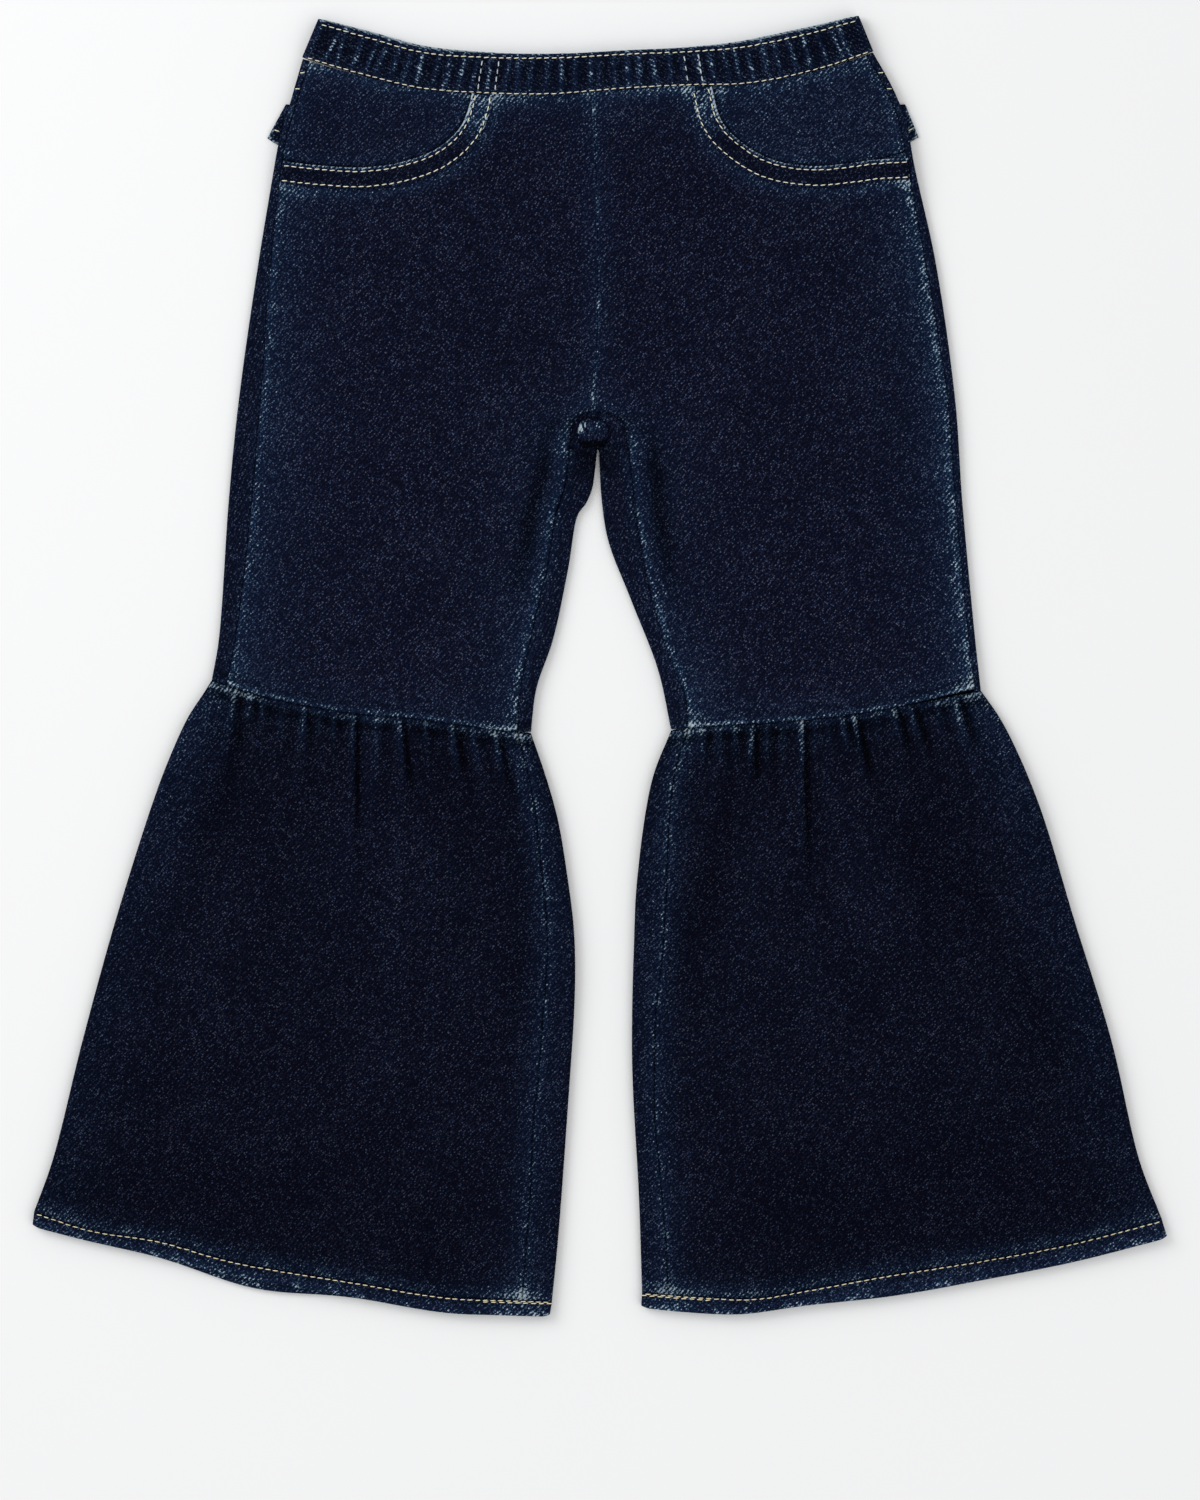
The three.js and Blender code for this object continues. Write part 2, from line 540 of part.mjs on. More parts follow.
function hem(cut) {
  const lowered = cut.hemSeam.map(([x, y]) => [x, y - WAIST_GAP]);
  const top = curve(lowered);
  const bottom = curve(cut.hemEdge);
  const start = curve([lowered[0], cut.hemEdge[0]]);
  const end = curve([lowered.at(-1), cut.hemEdge.at(-1)]);
  add(`hem_${cut.side}`, flattenedRing({
    plan: patch({ start, end, top, bottom }),
    widthAt: (share) => start(share).distanceTo(end(share)),
    shares: [0, 1],
    thickness: FLARE_THICKNESS.at(-1),
    wall: HEM_WALL,
    front: steps(HEM_COLUMNS),
    raise: () => 0,
  }));
}

function waistband() {
  const top = curve(WAIST_TOP);
  const bottom = curve(WAIST_SEAM);
  const start = curve([WAIST_TOP[0], WAIST_SEAM[0]]);
  const end = curve([WAIST_TOP.at(-1), WAIST_SEAM.at(-1)]);
  const pitch = 1 / WAIST_GATHERS.count;
  const uneven = (k) => WAIST_GATHERS.uneven * Math.sin(2.4 * k) * (k % 2);
  const columns = steps(2 * WAIST_GATHERS.count).map((u, k) => u + uneven(k) * pitch / 2);
  const raise = (place, { p, side, row }) => {
    place.y += BACK_BAND_RISE * (1 - row / 2) * (1 - p.z / BAND_THICKNESS);
    if (side < 0 || p.k === undefined) return 0;
    const size = 1 - WAIST_GATHERS.heightSpread * (1 - Math.sin(1.7 * p.k));
    if (p.nz > 0) return WAIST_GATHERS.crown[row] + (p.k % 2) * WAIST_GATHERS.height * size;
    return (p.k % 2) * WAIST_GATHERS.backGroove * size;
  };
  add('waistband', flattenedRing({
    plan: patch({ start, end, top, bottom }),
    widthAt: (share) => start(share).distanceTo(end(share)),
    shares: [0, 0.5, 1],
    thickness: BAND_THICKNESS,
    wall: BAND_WALL,
    front: columns,
    raise,
  }));
}

function backFrill() {
  const top = curve(FRILL.top);
  const bottom = curve(FRILL.bottom);
  const face = (z) => steps(FRILL.rows).map((t) => steps(FRILL.columns).map((u) => {
    const place = top(u).lerp(bottom(u), t);
    return place.setZ(z);
  }));
  add('back_frill', wallBetween(face(CLOTH), face(0)));
}

waistband();
backFrill();
crotchRoll();
for (const cut of [LEFT, RIGHT]) {
  backPanel(cut);
  frontPanel(cut);
  hip(cut);
  pocketEdge(cut);
  flare(cut);
  hem(cut);
}

export default garment;
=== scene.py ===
"""A toddler's pull-on flared jeans in dark denim, laid flat and seen from straight above.

The cloth shells are worked out in millimetres on the same lines of the cut as the frame's solids,
and turned into metres where a mesh is made. +Y points to the waist, and left is -X.
"""
import math

import bpy
import numpy as np
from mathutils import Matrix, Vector
from mathutils.bvhtree import BVHTree

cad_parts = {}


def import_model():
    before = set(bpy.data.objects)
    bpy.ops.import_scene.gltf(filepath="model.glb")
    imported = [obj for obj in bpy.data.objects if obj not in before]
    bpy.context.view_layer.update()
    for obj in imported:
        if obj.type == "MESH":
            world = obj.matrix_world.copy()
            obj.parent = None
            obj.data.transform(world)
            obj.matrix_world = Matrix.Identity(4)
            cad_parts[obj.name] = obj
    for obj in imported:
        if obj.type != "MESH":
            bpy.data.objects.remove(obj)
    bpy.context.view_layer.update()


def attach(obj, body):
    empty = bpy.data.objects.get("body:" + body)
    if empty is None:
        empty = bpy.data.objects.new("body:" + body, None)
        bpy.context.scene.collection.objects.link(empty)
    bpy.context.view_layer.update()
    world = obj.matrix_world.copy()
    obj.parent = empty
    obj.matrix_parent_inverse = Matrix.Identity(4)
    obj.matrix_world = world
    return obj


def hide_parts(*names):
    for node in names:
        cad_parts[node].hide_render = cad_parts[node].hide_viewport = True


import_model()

MM = 0.001

# Cloth, in millimetres
CLOTH = 1.2
SEAM_GAP = 0.05
WAIST_GAP = -0.6
LEG_THICKNESS = 3.0
KNEE_THICKNESS = 4.2
FLARE_THICKNESS = [4.4, 5.0, 4.6, 4.2, 4.2, 4.4]
BAND_WALL = 2.8
BAND_THICKNESS = 6.2
HEM_WALL = 1.9
POCKET_EDGE_WIDTH = 8.6
POCKET_EDGE_CLOTH = 0.9
FRILL_LIFT = 1.5
ROW = {"pocket": 0.163, "arch": 0.565, "crotch_cut": 0.598, "crotch": 0.61}
SCOOP_SHARE = 0.64
BACK_BAND_RISE = 1.6
BACK_BAND_PEEKS = ((-78, 34), (72, 32))
BAND_CORNER = 2.2
HEM_CORNER = 3.2
KNEE_TUCK = 0.4
HEM_PEEK = {"x": -136, "reach": 26, "drop": {"left": 3.2, "right": 0.8}}
HEM_HEIGHT = 6.2
BAND_HEIGHT = 16.0
BAND_GATHERS = 41
SEAM_ROLL = 0.35
HIP_END = ROW["pocket"] - 0.001
HIP_CORNER = 5 / 9

# Stitches, in millimetres: rows are offsets from the edge that they follow, or heights on the back
STITCH_PITCH = 3.0
STITCH_LENGTH = 2.2
STITCH_RADIUS = 0.20
STITCH_IN = 1.6
STITCH_OUT = 7.6
HEM_STITCH = 0.4
BAND_ROWS = (1.7, 15.75)
BAND_VERTICALS = (-48.4, -41.6, 34.6, 40.4)
YOKE_ROWS = ((236.8, 225.6), (230.4, 219.2))
PATHS = {"waistband": [], "pockets": [], "hems": [], "frill": [], "pale": [], "yoke": []}

# Fineness of the meshes
PANEL_PITCH = 1.7
HIP_PITCH = 1.3
BACK_TURN = 11
FLARE_TURN = 9
EDGE_STEPS = np.array([0.0, 0.25, 0.55, 0.95, 1.5, 2.2])

# Denim: its twill in millimetres, and its yarn's linear colours from the darkest places to the lightest
TWILL_PITCH = 1.45
TWILL_ANGLE = math.radians(50)
TWILL_WANDER = 0.9
FLOATS_PER_MM = (1.2, 1.75, 0.6)
GREY_YARN = [(0.0, (0.0027, 0.0028, 0.0076)), (0.20, (0.0062, 0.0067, 0.0158)),
             (0.50, (0.0225, 0.0245, 0.0440)), (1.0, (0.0900, 0.0970, 0.1350))]
BLUE_YARN = [(0.0, (0.0017, 0.0028, 0.0098)), (0.20, (0.0040, 0.0068, 0.0215)),
             (0.50, (0.0150, 0.0245, 0.0620)), (1.0, (0.0700, 0.1020, 0.1850))]
HAZE = [(0.0, (0.0038, 0.0092, 0.0280)), (0.20, (0.0100, 0.0230, 0.0600)),
        (0.50, (0.0400, 0.0730, 0.1450)), (1.0, (0.2000, 0.2700, 0.3600))]
BARED_YARN = [(0.0, (0.0060, 0.0130, 0.0330)), (0.35, (0.0300, 0.0620, 0.1100)),
              (0.70, (0.1100, 0.1700, 0.2300)), (1.0, (0.3600, 0.4400, 0.5000))]

# Lines of the cut in plan, from the waist down or from the outer side inwards
LEFT = {
    "side": "left",
    "sign": -1,
    "side_fade": {"line": 0.15, "haze": 0.18},
    "waist_fade_at": 38,
    "hip_fade": 0.08,
    "side_fold": [(-118.8, 242.4), (-123.4, 226.4), (-128.6, 208), (-130.4, 198), (-136.4, 162.4),
                  (-144.4, 106.4), (-148.4, 66.4), (-152.4, 10.4), (-155.2, -5.8)],
    "leg_fold": [(-1.0, 87.6), (-1.9, 79), (-3.2, 70.6), (-5.8, 64.6), (-8.8, 60.6), (-12.8, 38.4),
                 (-18.8, 10.4), (-25.4, -9), (-27.6, -26.4)],
    "side_seam": [(-116.2, 241.4), (-120.8, 226.4), (-126, 208), (-127.4, 198), (-131.4, 162.4),
                  (-135.6, 106.4), (-141, 46.4), (-145.6, 10.4), (-149.2, -8)],
    "inseam": [(-12.4, 88), (-13.8, 73.6), (-18, 59.6), (-20.8, 40.8), (-26, 18.4), (-32, -10.8),
               (-33, -26.2)],
    "arch": [(-7.6, 100.6), (-10.4, 97), (-11.9, 92)],
    "pocket": [(-126.9, 201.4), (-111.6, 199.8), (-95.2, 199), (-79.2, 201.2), (-65, 206.6), (-56, 214.8),
               (-52.6, 222.4), (-51.2, 228.2)],
    "knee": [(-155.2, -5.8), (-133.2, -12.8), (-95.6, -19.6), (-74.4, -21.2), (-38.8, -26.2), (-27.6, -26.8)],
    "flare_side_fold": [(-155.4, -6.4), (-158.6, -11.2), (-164.8, -20.8), (-172.4, -37.6), (-178.4, -53.6),
                        (-193.6, -101.6), (-206.8, -149.6), (-218.8, -197.6), (-226.2, -218.2)],
    "flare_leg_fold": [(-27.4, -27.4), (-21.2, -45.6), (-16.8, -61.6), (-12.8, -85.6), (-10.4, -105.6),
                       (-10, -129.6), (-13.2, -181.6), (-16.8, -229.6), (-19.2, -253.8)],
    "seam_from_leg_fold": [5.4, 7.4, 9.6, 10.4, 11, 12.4, 12.4, 13.4, 12.4, 12.4, 11.8],
    "hem_seam": [(-226.2, -218.2), (-203.4, -225.4), (-176.6, -229.6), (-146.2, -238), (-98, -246.2),
                 (-62.2, -252), (-35.4, -253.2), (-19.2, -253.8)],
    "hem_edge": [(-226.8, -224), (-206, -229.4), (-178.8, -235.6), (-145.8, -244), (-100.6, -251.8),
                 (-62, -258.4), (-40.4, -259.4), (-20, -260)],
}
RIGHT = {
    "side": "right",
    "sign": 1,
    "side_fade": {"line": 0.22, "haze": 0.28},
    "waist_fade_at": 30,
    "hip_fade": 0.16,
    "side_fold": [(109.1, 245), (117.2, 230.4), (122.4, 217), (125.8, 199), (134, 162.4), (142, 106.4),
                  (144.8, 66.4), (150, 10.4), (152.2, -9.8)],
    "leg_fold": [(-0.5, 87.6), (-0.1, 78), (0.5, 68), (3.2, 50.4), (12.4, 26.4), (23.2, -1.6), (28.4, -25.4)],
    "side_seam": [(106.6, 243.8), (114.6, 229.4), (119.8, 216.6), (123, 199), (129.6, 164), (135.4, 130.4),
                  (139, 106.4), (142, 66.4), (147.4, 10.4), (149.6, -9.2)],
    "inseam": [(11.2, 88), (13, 74.4), (14.4, 60), (19.6, 32), (28, 2.4), (34, -11.6), (35.4, -25)],
    "arch": [(2.2, 101.1), (7.4, 99.2), (10.4, 94)],
    "pocket": [(123.2, 202.8), (109.2, 202), (100.4, 200.8), (84.4, 199.6), (68, 202.4), (55.4, 210),
               (48.4, 218), (44.6, 230.8)],
    "knee": [(152.2, -9.8), (117.2, -17), (94, -20.6), (70.4, -22.8), (35.2, -25), (28.4, -25.8)],
    "flare_side_fold": [(152.6, -10.6), (161.2, -23.2), (174.8, -53.6), (189.6, -101.6), (204.4, -149.6),
                        (215.6, -197.6), (224.6, -221.2)],
    "flare_leg_fold": [(28, -26.6), (20.8, -45.6), (14.8, -85.6), (13.6, -109.6), (12.8, -157.6),
                       (15.6, -213.6), (16.8, -250.4)],
    "seam_from_leg_fold": [7.2, 9, 10.8, 12.4, 11.8, 9.6, 9, 8, 9, 10, 10.4],
    "hem_seam": [(224.6, -221.2), (186.6, -231), (151, -237.6), (115.2, -243.2), (83, -249.2), (62, -252.6),
                 (43.8, -252.2), (16.8, -250.4)],
    "hem_edge": [(226.6, -228.6), (190, -238), (154, -245.2), (118, -251.6), (82, -255.6), (56, -259),
                 (34, -258.2), (16.4, -256.4)],
}
CENTRE_FRONT_SEAM = [(-2.6, 229.4), (-1.8, 205), (-0.8, 166), (-1.2, 130), (-3.3, 101.8)]
CENTRE_BACK_X = -0.8
WAIST_SEAM = [(-119, 243.2), (-97.6, 236.8), (-71, 230.5), (-46, 228.6), (-20, 228.2), (8.4, 230.4),
              (35, 231.8), (59.8, 232.6), (86.4, 238), (109.2, 245.6)]
WAIST_TOP = [(-112.6, 258.2), (-90.8, 252), (-71, 246.6), (-46.4, 244.6), (-16.6, 244.4), (11.8, 245.8),
             (36, 246.8), (56.4, 248.6), (82.8, 254), (103.4, 259.4)]
FRILL_TOP = [(-125.6, 224.6), (-60, 221), (0, 220), (60, 222), (122, 224.6)]
FRILL_BOTTOM = [(-133, 211), (-128, 208.2), (-60, 206), (0, 205.6), (60, 206.6), (121, 208.4),
                (127.4, 211.4)]
FRILL_HEIGHT = 16.0
FRILL_LENGTH = 258.0
FRILL_STITCH = 0.72
CROTCH = {
    "x": -3.2, "top": 99.4, "bottom": 86.4, "seam_x": -5.2,
    "half_widths": [3.4, 5.2, 6.2, 6.4, 6.1, 5.0, 3.6],
    "heights": [2.2, 3.1, 3.4, 3.3, 2.8, 1.7, 1.1],
}
CROTCH_SHADOW = (-3, 84)

# Soft bands beside the lines of each cut: the line, the distance from it, the width and the strength
RIDGES = {
    "front": [("side", 2, 1.6, 0.4), ("centre", 1.6, 1.3, 0.25), ("inseam", 2.2, 1.8, 0.5),
              ("knee", 1.4, 1.2, 0.45)],
    "hip": [("waist", 2, 1.8, 0.25), ("side", 2, 1.5, 0.3)],
    "back": [("leg_seam", 2.2, 1.8, 0.35), ("side_seam", 1.6, 1.2, 0.2)],
    "flare": [("seam", 1.8, 1.5, 0.55), ("knee", 1.2, 1.2, 0.35)],
}
FADES = {
    "front": [("side", 0, 24, 0.12), ("centre", 0, 6, 0.14), ("inseam", 0, 9, 0.2), ("inseam", 0, 24, 0.1),
              ("knee", 0, 8, 0.17), ("waist", 0, 12, 0.14), ("arch", 0, 5, 0.2)],
    "hip": [("waist", 0, 11, 0.08), ("side", 1, 4, 0.2), ("scoop", 1.5, 3, 0.14)],
    "flare": [("knee", 0, 9, 0.1), ("hem", 0, 8, 0.15)],
}
# Painted shade: bands beside seams, folds and edges, darkened where shade falls in their grooves
SHADES = {
    "front": [("inseam", 0, 0.5, 0.5), ("arch", 0, 1.8, 0.45), ("knee", 3.6, 1.4, 0.4),
              ("knee", 0, 0.35, 0.5)],
    "hip": [("scoop", 0, 0.9, 0.75)],
    "back": [("knee", 3.4, 1.4, 0.4)],
}

# Gathers of each flare: where a crest starts, from the side fold, its height, its run down, its drift
# inwards, and how steep its side away from the light is
GATHERS = {
    "left": [
        (10.6, 1.5, 30, -5, 1.2), (17, 1.2, 20, -2, 1.3), (21.6, 1.2, 20, -1, 1.5), (30, 1.0, 36, -3, 1.0),
        (38.6, 1.5, 22, -1, 2.0), (45, 1.0, 22, 0, 1.2), (50.4, 1.1, 24, 0, 1.3), (58.6, 2.2, 80, -1, 3.4),
        (68, 1.0, 34, 0, 1.2), (76.8, 2.0, 44, 3, 2.6), (87, 1.0, 30, 2, 1.1), (97.8, 1.6, 30, 3, 1.6),
        (106, 1.1, 30, 4, 1.1), (115, 1.5, 40, 6, 1.4),
    ],
    "right": [
        (10.4, 1.8, 30, -5, 1.5), (18, 1.0, 24, -4, 1.1), (28.8, 1.7, 24, -5, 1.8), (35.6, 1.7, 24, -5, 1.8),
        (43, 1.0, 30, -4, 1.1), (51.6, 2.0, 42, -6, 2.2), (56.4, 1.5, 20, -3, 1.6), (62, 1.0, 24, -1, 1.2),
        (67, 1.0, 22, 0, 1.2), (72.2, 2.2, 90, 0, 3.4), (80, 1.0, 30, 0, 1.2), (86, 1.2, 36, 1, 1.4),
        (92, 1.9, 32, 2, 2.0), (98.6, 1.2, 22, 1, 1.6), (105.4, 1.1, 20, 1, 1.4), (111.8, 1.2, 20, 1, 1.4),
    ],
}
BACK_GATHER_SHARE = 0.45
GATHER_AT_SEAM = 0.5
GATHER_RISE = 9

# Broad soft troughs along a line: width to its left and right, depth and how much painted shade they get
TROUGHS = {
    "left": [
        {"line": [(-143, -14), (-150, -50), (-160, -68)], "width": (7, 12), "depth": 1.2, "dark": 0.7},
        {"line": [(-112, -22), (-114, -60), (-118, -100)], "width": (9, 9), "depth": 0.5, "dark": 0.4},
        {"line": [(-62, -24), (-55, -60), (-54, -104)], "width": (10, 7), "depth": 0.8, "dark": 0.6},
        {"line": [(-38, -50), (-32, -100), (-34, -160)], "width": (7, 7), "depth": 0.4, "dark": 0.5},
    ],
    "right": [
        {"line": [(57, -32), (51, -54), (44, -80), (36.5, -108), (33, -134)], "width": (5, 13), "depth": 1.2,
         "dark": 0.85},
        {"line": [(84, -24), (86, -70), (84, -116)], "width": (8, 8), "depth": 0.5, "dark": 0.5},
        {"line": [(112, -26), (118, -60), (128, -100)], "width": (9, 9), "depth": 0.5, "dark": 0.4},
        {"line": [(133, -36), (142, -73), (155, -101), (169, -127), (184, -158)], "width": (14, 6),
         "depth": 1.2, "dark": 0.8},
    ],
}


# Curves and patches in plan

def curve(points):
    """A smooth curve through points, read by the share of its length."""
    p = np.array(points, float)
    p = np.vstack([2 * p[0] - p[1], p, 2 * p[-1] - p[-2]])
    dense = []
    for a, b, c, d in zip(p[:-3], p[1:-2], p[2:-1], p[3:]):
        t1 = math.sqrt(np.linalg.norm(b - a))
        t2 = t1 + math.sqrt(np.linalg.norm(c - b))
        t3 = t2 + math.sqrt(np.linalg.norm(d - c))
        t = np.linspace(t1, t2, 20, endpoint=False)[:, None]
        ab = (t1 - t) / t1 * a + t / t1 * b
        bc = (t2 - t) / (t2 - t1) * b + (t - t1) / (t2 - t1) * c
        cd = (t3 - t) / (t3 - t2) * c + (t - t2) / (t3 - t2) * d
        abc = (t2 - t) / t2 * ab + t / t2 * bc
        bcd = (t3 - t) / (t3 - t1) * bc + (t - t1) / (t3 - t1) * cd
        dense.append((t2 - t) / (t2 - t1) * abc + (t - t1) / (t2 - t1) * bcd)
    dense = np.vstack(dense + [p[-2:-1]])
    length = np.concatenate([[0], np.cumsum(np.linalg.norm(np.diff(dense, axis=0), axis=1))])

    def at(share):
        s = np.asarray(share, float) * length[-1]
        return np.stack([np.interp(s, length, dense[:, 0]), np.interp(s, length, dense[:, 1])], -1)

    at.length = length[-1]
    return at


def stretch(line, start, end):
    """The part of a curve between two shares, as a curve of its own."""
    return lambda share: line(start + (end - start) * np.asarray(share, float))


def chain(curves, shares):
    """Curves end to end as one, each read between its own two shares."""
    def at(share):
        share = np.asarray(share, float)
        out = curves[0]((share - shares[0]) / (shares[1] - shares[0]))
        for line, low, high in zip(curves[1:], shares[1:-1], shares[2:]):
            out = np.where((share >= low)[..., None], line((share - low) / (high - low)), out)
        return out
    return at


def patch(start, end, top, bottom, low=0.0, high=1.0):
    """A Coons patch: plan points at u across and at a share down, from its four edge curves."""
    corners = [top(0.0), top(1.0), bottom(0.0), bottom(1.0)]

    def plan(u, share):
        u, share = np.broadcast_arrays(np.asarray(u, float), np.asarray(share, float))
        t = ((share - low) / (high - low))[..., None]
        v = u[..., None]
        sides = (1 - v) * start(share) + v * end(share) + (1 - t) * top(u) + t * bottom(u)
        return sides - ((1 - v) * (1 - t) * corners[0] + v * (1 - t) * corners[1]
                        + (1 - v) * t * corners[2] + v * t * corners[3])
    return plan


def beside(points, distance):
    """Points moved to the left of their direction, or to the right where the distance is negative."""
    p = np.array(points, float)
    way = np.gradient(p, axis=0)
    way /= np.linalg.norm(way, axis=1)[:, None]
    return p + distance * np.stack([-way[:, 1], way[:, 0]], -1)


def under_waist(x0, x1, gap=WAIST_GAP):
    """The lower side of the waist seam between two values of x."""
    seam = curve(WAIST_SEAM)(np.linspace(0, 1, 200))
    x = np.linspace(x0, x1, 12)
    return curve(np.stack([x, np.interp(x, seam[:, 0], seam[:, 1]) - gap], -1))


def near(xy, line, count=110):
    """The distance of plan points to a curve, and the share of the curve that is nearest."""
    p = line(np.linspace(0, 1, count + 1))
    best = np.full(xy.shape[:-1], 1e9)
    share = np.zeros(xy.shape[:-1])
    for i, (a, b) in enumerate(zip(p[:-1], p[1:])):
        way = b - a
        t = np.clip(((xy - a) @ way) / max(way @ way, 1e-12), 0, 1)
        gap = np.hypot(xy[..., 0] - a[0] - t * way[0], xy[..., 1] - a[1] - t * way[1])
        closer = gap < best
        best = np.where(closer, gap, best)
        share = np.where(closer, (i + t) / count, share)
    return best, share


def x_at(line, y):
    """Where a line that runs downwards passes a value of y."""
    points = line(np.linspace(1, 0, 400))
    return float(np.interp(y, points[:, 1], points[:, 0]))


def smoothstep(x, low, high):
    """A soft step from 0 to 1 between two values."""
    t = np.clip((x - low) / (high - low), 0, 1)
    return t * t * (3 - 2 * t)


def bell(distance, width):
    """1 at no distance, falling to 0.37 at the width and softly to nothing."""
    return np.exp(-(distance / width) ** 2)


def bands(to, rows):
    """Soft bands beside lines, from the distances to them."""
    return sum(strength * bell(to[line] - distance, width) for line, distance, width, strength in rows)


def waves(place, pitch, wander=0.0):
    return np.sin(2 * math.pi * place / pitch + wander)


def along(numbers, share):
    """Evenly spaced numbers read at a share of the way along them."""
    return np.interp(share, np.linspace(0, 1, len(numbers)), numbers)


def uneven(x, y, size, seed):
    """Smooth noise from -1 to 1, with bumps about size mm across."""
    lattice = np.random.default_rng(seed).uniform(-1, 1, (61, 61))
    gx, gy = np.asarray(x) / size + 1000.3, np.asarray(y) / size + 1000.7
    i, j = np.floor(gx).astype(int), np.floor(gy).astype(int)
    fx, fy = gx - i, gy - j
    fx, fy = fx * fx * (3 - 2 * fx), fy * fy * (3 - 2 * fy)
    at = lambda a, b: lattice[(i + a) % 61, (j + b) % 61]
    return ((1 - fx) * (1 - fy) * at(0, 0) + fx * (1 - fy) * at(1, 0)
            + (1 - fx) * fy * at(0, 1) + fx * fy * at(1, 1))


def patches(x, y, size, seed):
    """Smooth noise from 0 to 1."""
    return 0.5 + 0.5 * uneven(x, y, size, seed)


def stations(length, pitch, close=(True, True)):
    """Shares along a length, evenly spaced but for closer ones near its ends."""
    start = EDGE_STEPS if close[0] else EDGE_STEPS[:1]
    end = EDGE_STEPS if close[1] else EDGE_STEPS[:1]
    inside = length - start[-1] - end[-1]
    count = max(int(round(inside / pitch)), 1)
    middle = start[-1] + inside * np.arange(1, count) / count
    return np.concatenate([start, middle, length - end[::-1]]) / length


def rounded(distance, radius=0.9):
    """How far a turned edge drops at a distance from it."""
    d = np.clip(distance, 0, radius)
    return radius - np.sqrt(radius ** 2 - (radius - d) ** 2)


def frill_lift(y):
    return FRILL_LIFT * smoothstep(y, 176, 204)


def leg_thickness(share):
    return LEG_THICKNESS + (KNEE_THICKNESS - LEG_THICKNESS) * smoothstep(share, 0.8, 1)


# Meshes

def shell_faces(rows, columns, ring, has):
    """Quads of a shell's two grids, and of the walls between them round the cells that have cloth."""
    cells = np.ones((rows - 1, columns if ring else columns - 1), bool)
    if has is not None:
        cells &= has
    number = np.arange(rows * columns).reshape(rows, columns)
    if ring:
        number = np.hstack([number, number[:, :1]])
    height, width = cells.shape

    def corners(grid):
        return [grid[i:i + height, j:j + width] for i, j in ((0, 0), (1, 0), (1, 1), (0, 1))]

    a, b, c, d = corners(number)
    e, f, g, h = corners(number + rows * columns)
    pad = np.pad(cells, 1)
    if ring:
        pad[:, 0] = pad[:, -2]
        pad[:, -1] = pad[:, 1]
    quads = [
        (a, b, c, d, cells),
        (e, h, g, f, cells),
        (a, e, f, b, cells & ~pad[1:-1, :-2]),
        (b, f, g, c, cells & ~pad[2:, 1:-1]),
        (c, g, h, d, cells & ~pad[1:-1, 2:]),
        (d, h, e, a, cells & ~pad[:-2, 1:-1]),
    ]
    return np.vstack([np.stack([p[m], q[m], r[m], s[m]], -1) for p, q, r, s, m in quads])


def shell(name, outer, inner, wear, shade, ring=False, has=None):
    """A closed cloth shell between two grids of points, with how worn each point is and how much painted
    shade it gets.
    """
    grid = outer.shape[:2]
    faces = shell_faces(*grid, ring, has)
    used = np.unique(faces)
    faces = np.searchsorted(used, faces)
    points = np.vstack([outer.reshape(-1, 3), inner.reshape(-1, 3)])[used] * MM
    p = points[faces]
    volume = (p.mean(1) * np.cross(p[:, 2] - p[:, 0], p[:, 3] - p[:, 1])).sum()
    if volume < 0:
        faces = faces[:, ::-1]
    obj = new_mesh(name, points, faces)
    # wear is the cloth's own fading; shade is painted shade, darkening where shade falls
    for key, values in (("wear", wear), ("shade", shade)):
        one_side = np.clip(np.broadcast_to(values, grid), 0, 1).reshape(-1)
        both = np.concatenate([one_side, one_side])[used]
        layer = obj.data.attributes.new(key, "FLOAT", "POINT")
        layer.data.foreach_set("value", both.astype(np.float32))
    return obj


def new_mesh(name, points, faces):
    mesh = bpy.data.meshes.new(name)
    sides = faces.shape[1]
    mesh.vertices.add(len(points))
    mesh.vertices.foreach_set("co", np.ascontiguousarray(points, np.float32).ravel())
    mesh.loops.add(faces.size)
    mesh.loops.foreach_set("vertex_index", np.ascontiguousarray(faces, np.int32).ravel())
    mesh.polygons.add(len(faces))
    mesh.polygons.foreach_set("loop_start", np.arange(0, faces.size, sides, dtype=np.int32))
    mesh.polygons.foreach_set("use_smooth", np.ones(len(faces), bool))
    mesh.update(calc_edges=True)
    mesh.validate()
    obj = bpy.data.objects.new(name, mesh)
    bpy.context.scene.collection.objects.link(obj)
    return obj


def lift_of(plan_points, z):
    return np.concatenate([plan_points, np.broadcast_to(z, plan_points.shape[:-1])[..., None]], -1)


# Flattened tubes: a section is how far across and how high its wall runs, and the wall's normal there

def turn(centre, radius, middle, angles):
    """The part of a section that turns round a fold."""
    angle = np.radians(angles)
    return centre + middle * np.cos(angle), radius + middle * np.sin(angle), np.cos(angle), np.sin(angle)


def section(parts):
    """The parts of a section end to end, at every share."""
    whole = ([], [], [], [])
    for part in parts:
        for column, values in zip(whole, part):
            column.append(np.broadcast_to(values, part[0].shape))
    return [np.hstack(column) for column in whole]


def walls(plan, width, share, tube, wall, shift=0.0):
    """The outer and the inner face of a flattened tube's wall."""
    a, z, na, nz = tube
    faces = []
    for reach in (wall / 2, -wall / 2):
        xy = plan((a + reach * na) / width, share) + shift
        faces.append(lift_of(xy, z + reach * nz))
    return faces


# Materials

def node(tree, kind, inputs=None, **settings):
    made = tree.nodes.new(kind)
    for key, value in settings.items():
        setattr(made, key, value)
    for key, value in (inputs or {}).items():
        socket = made.inputs[key]
        if isinstance(value, bpy.types.NodeSocket):
            tree.links.new(value, socket)
        else:
            socket.default_value = value
    return made


def math_node(tree, operation, a, b=0.0, c=0.0, clamp=False):
    made = node(tree, "ShaderNodeMath", {0: a, 1: b, 2: c}, operation=operation, use_clamp=clamp)
    return made.outputs[0]


def spread(tree, value, noise, size, clamp=False):
    """A value with noise of a size added, evenly about zero."""
    around = math_node(tree, "MULTIPLY_ADD", noise, size, -size / 2)
    return math_node(tree, "ADD", value, around, clamp=clamp)


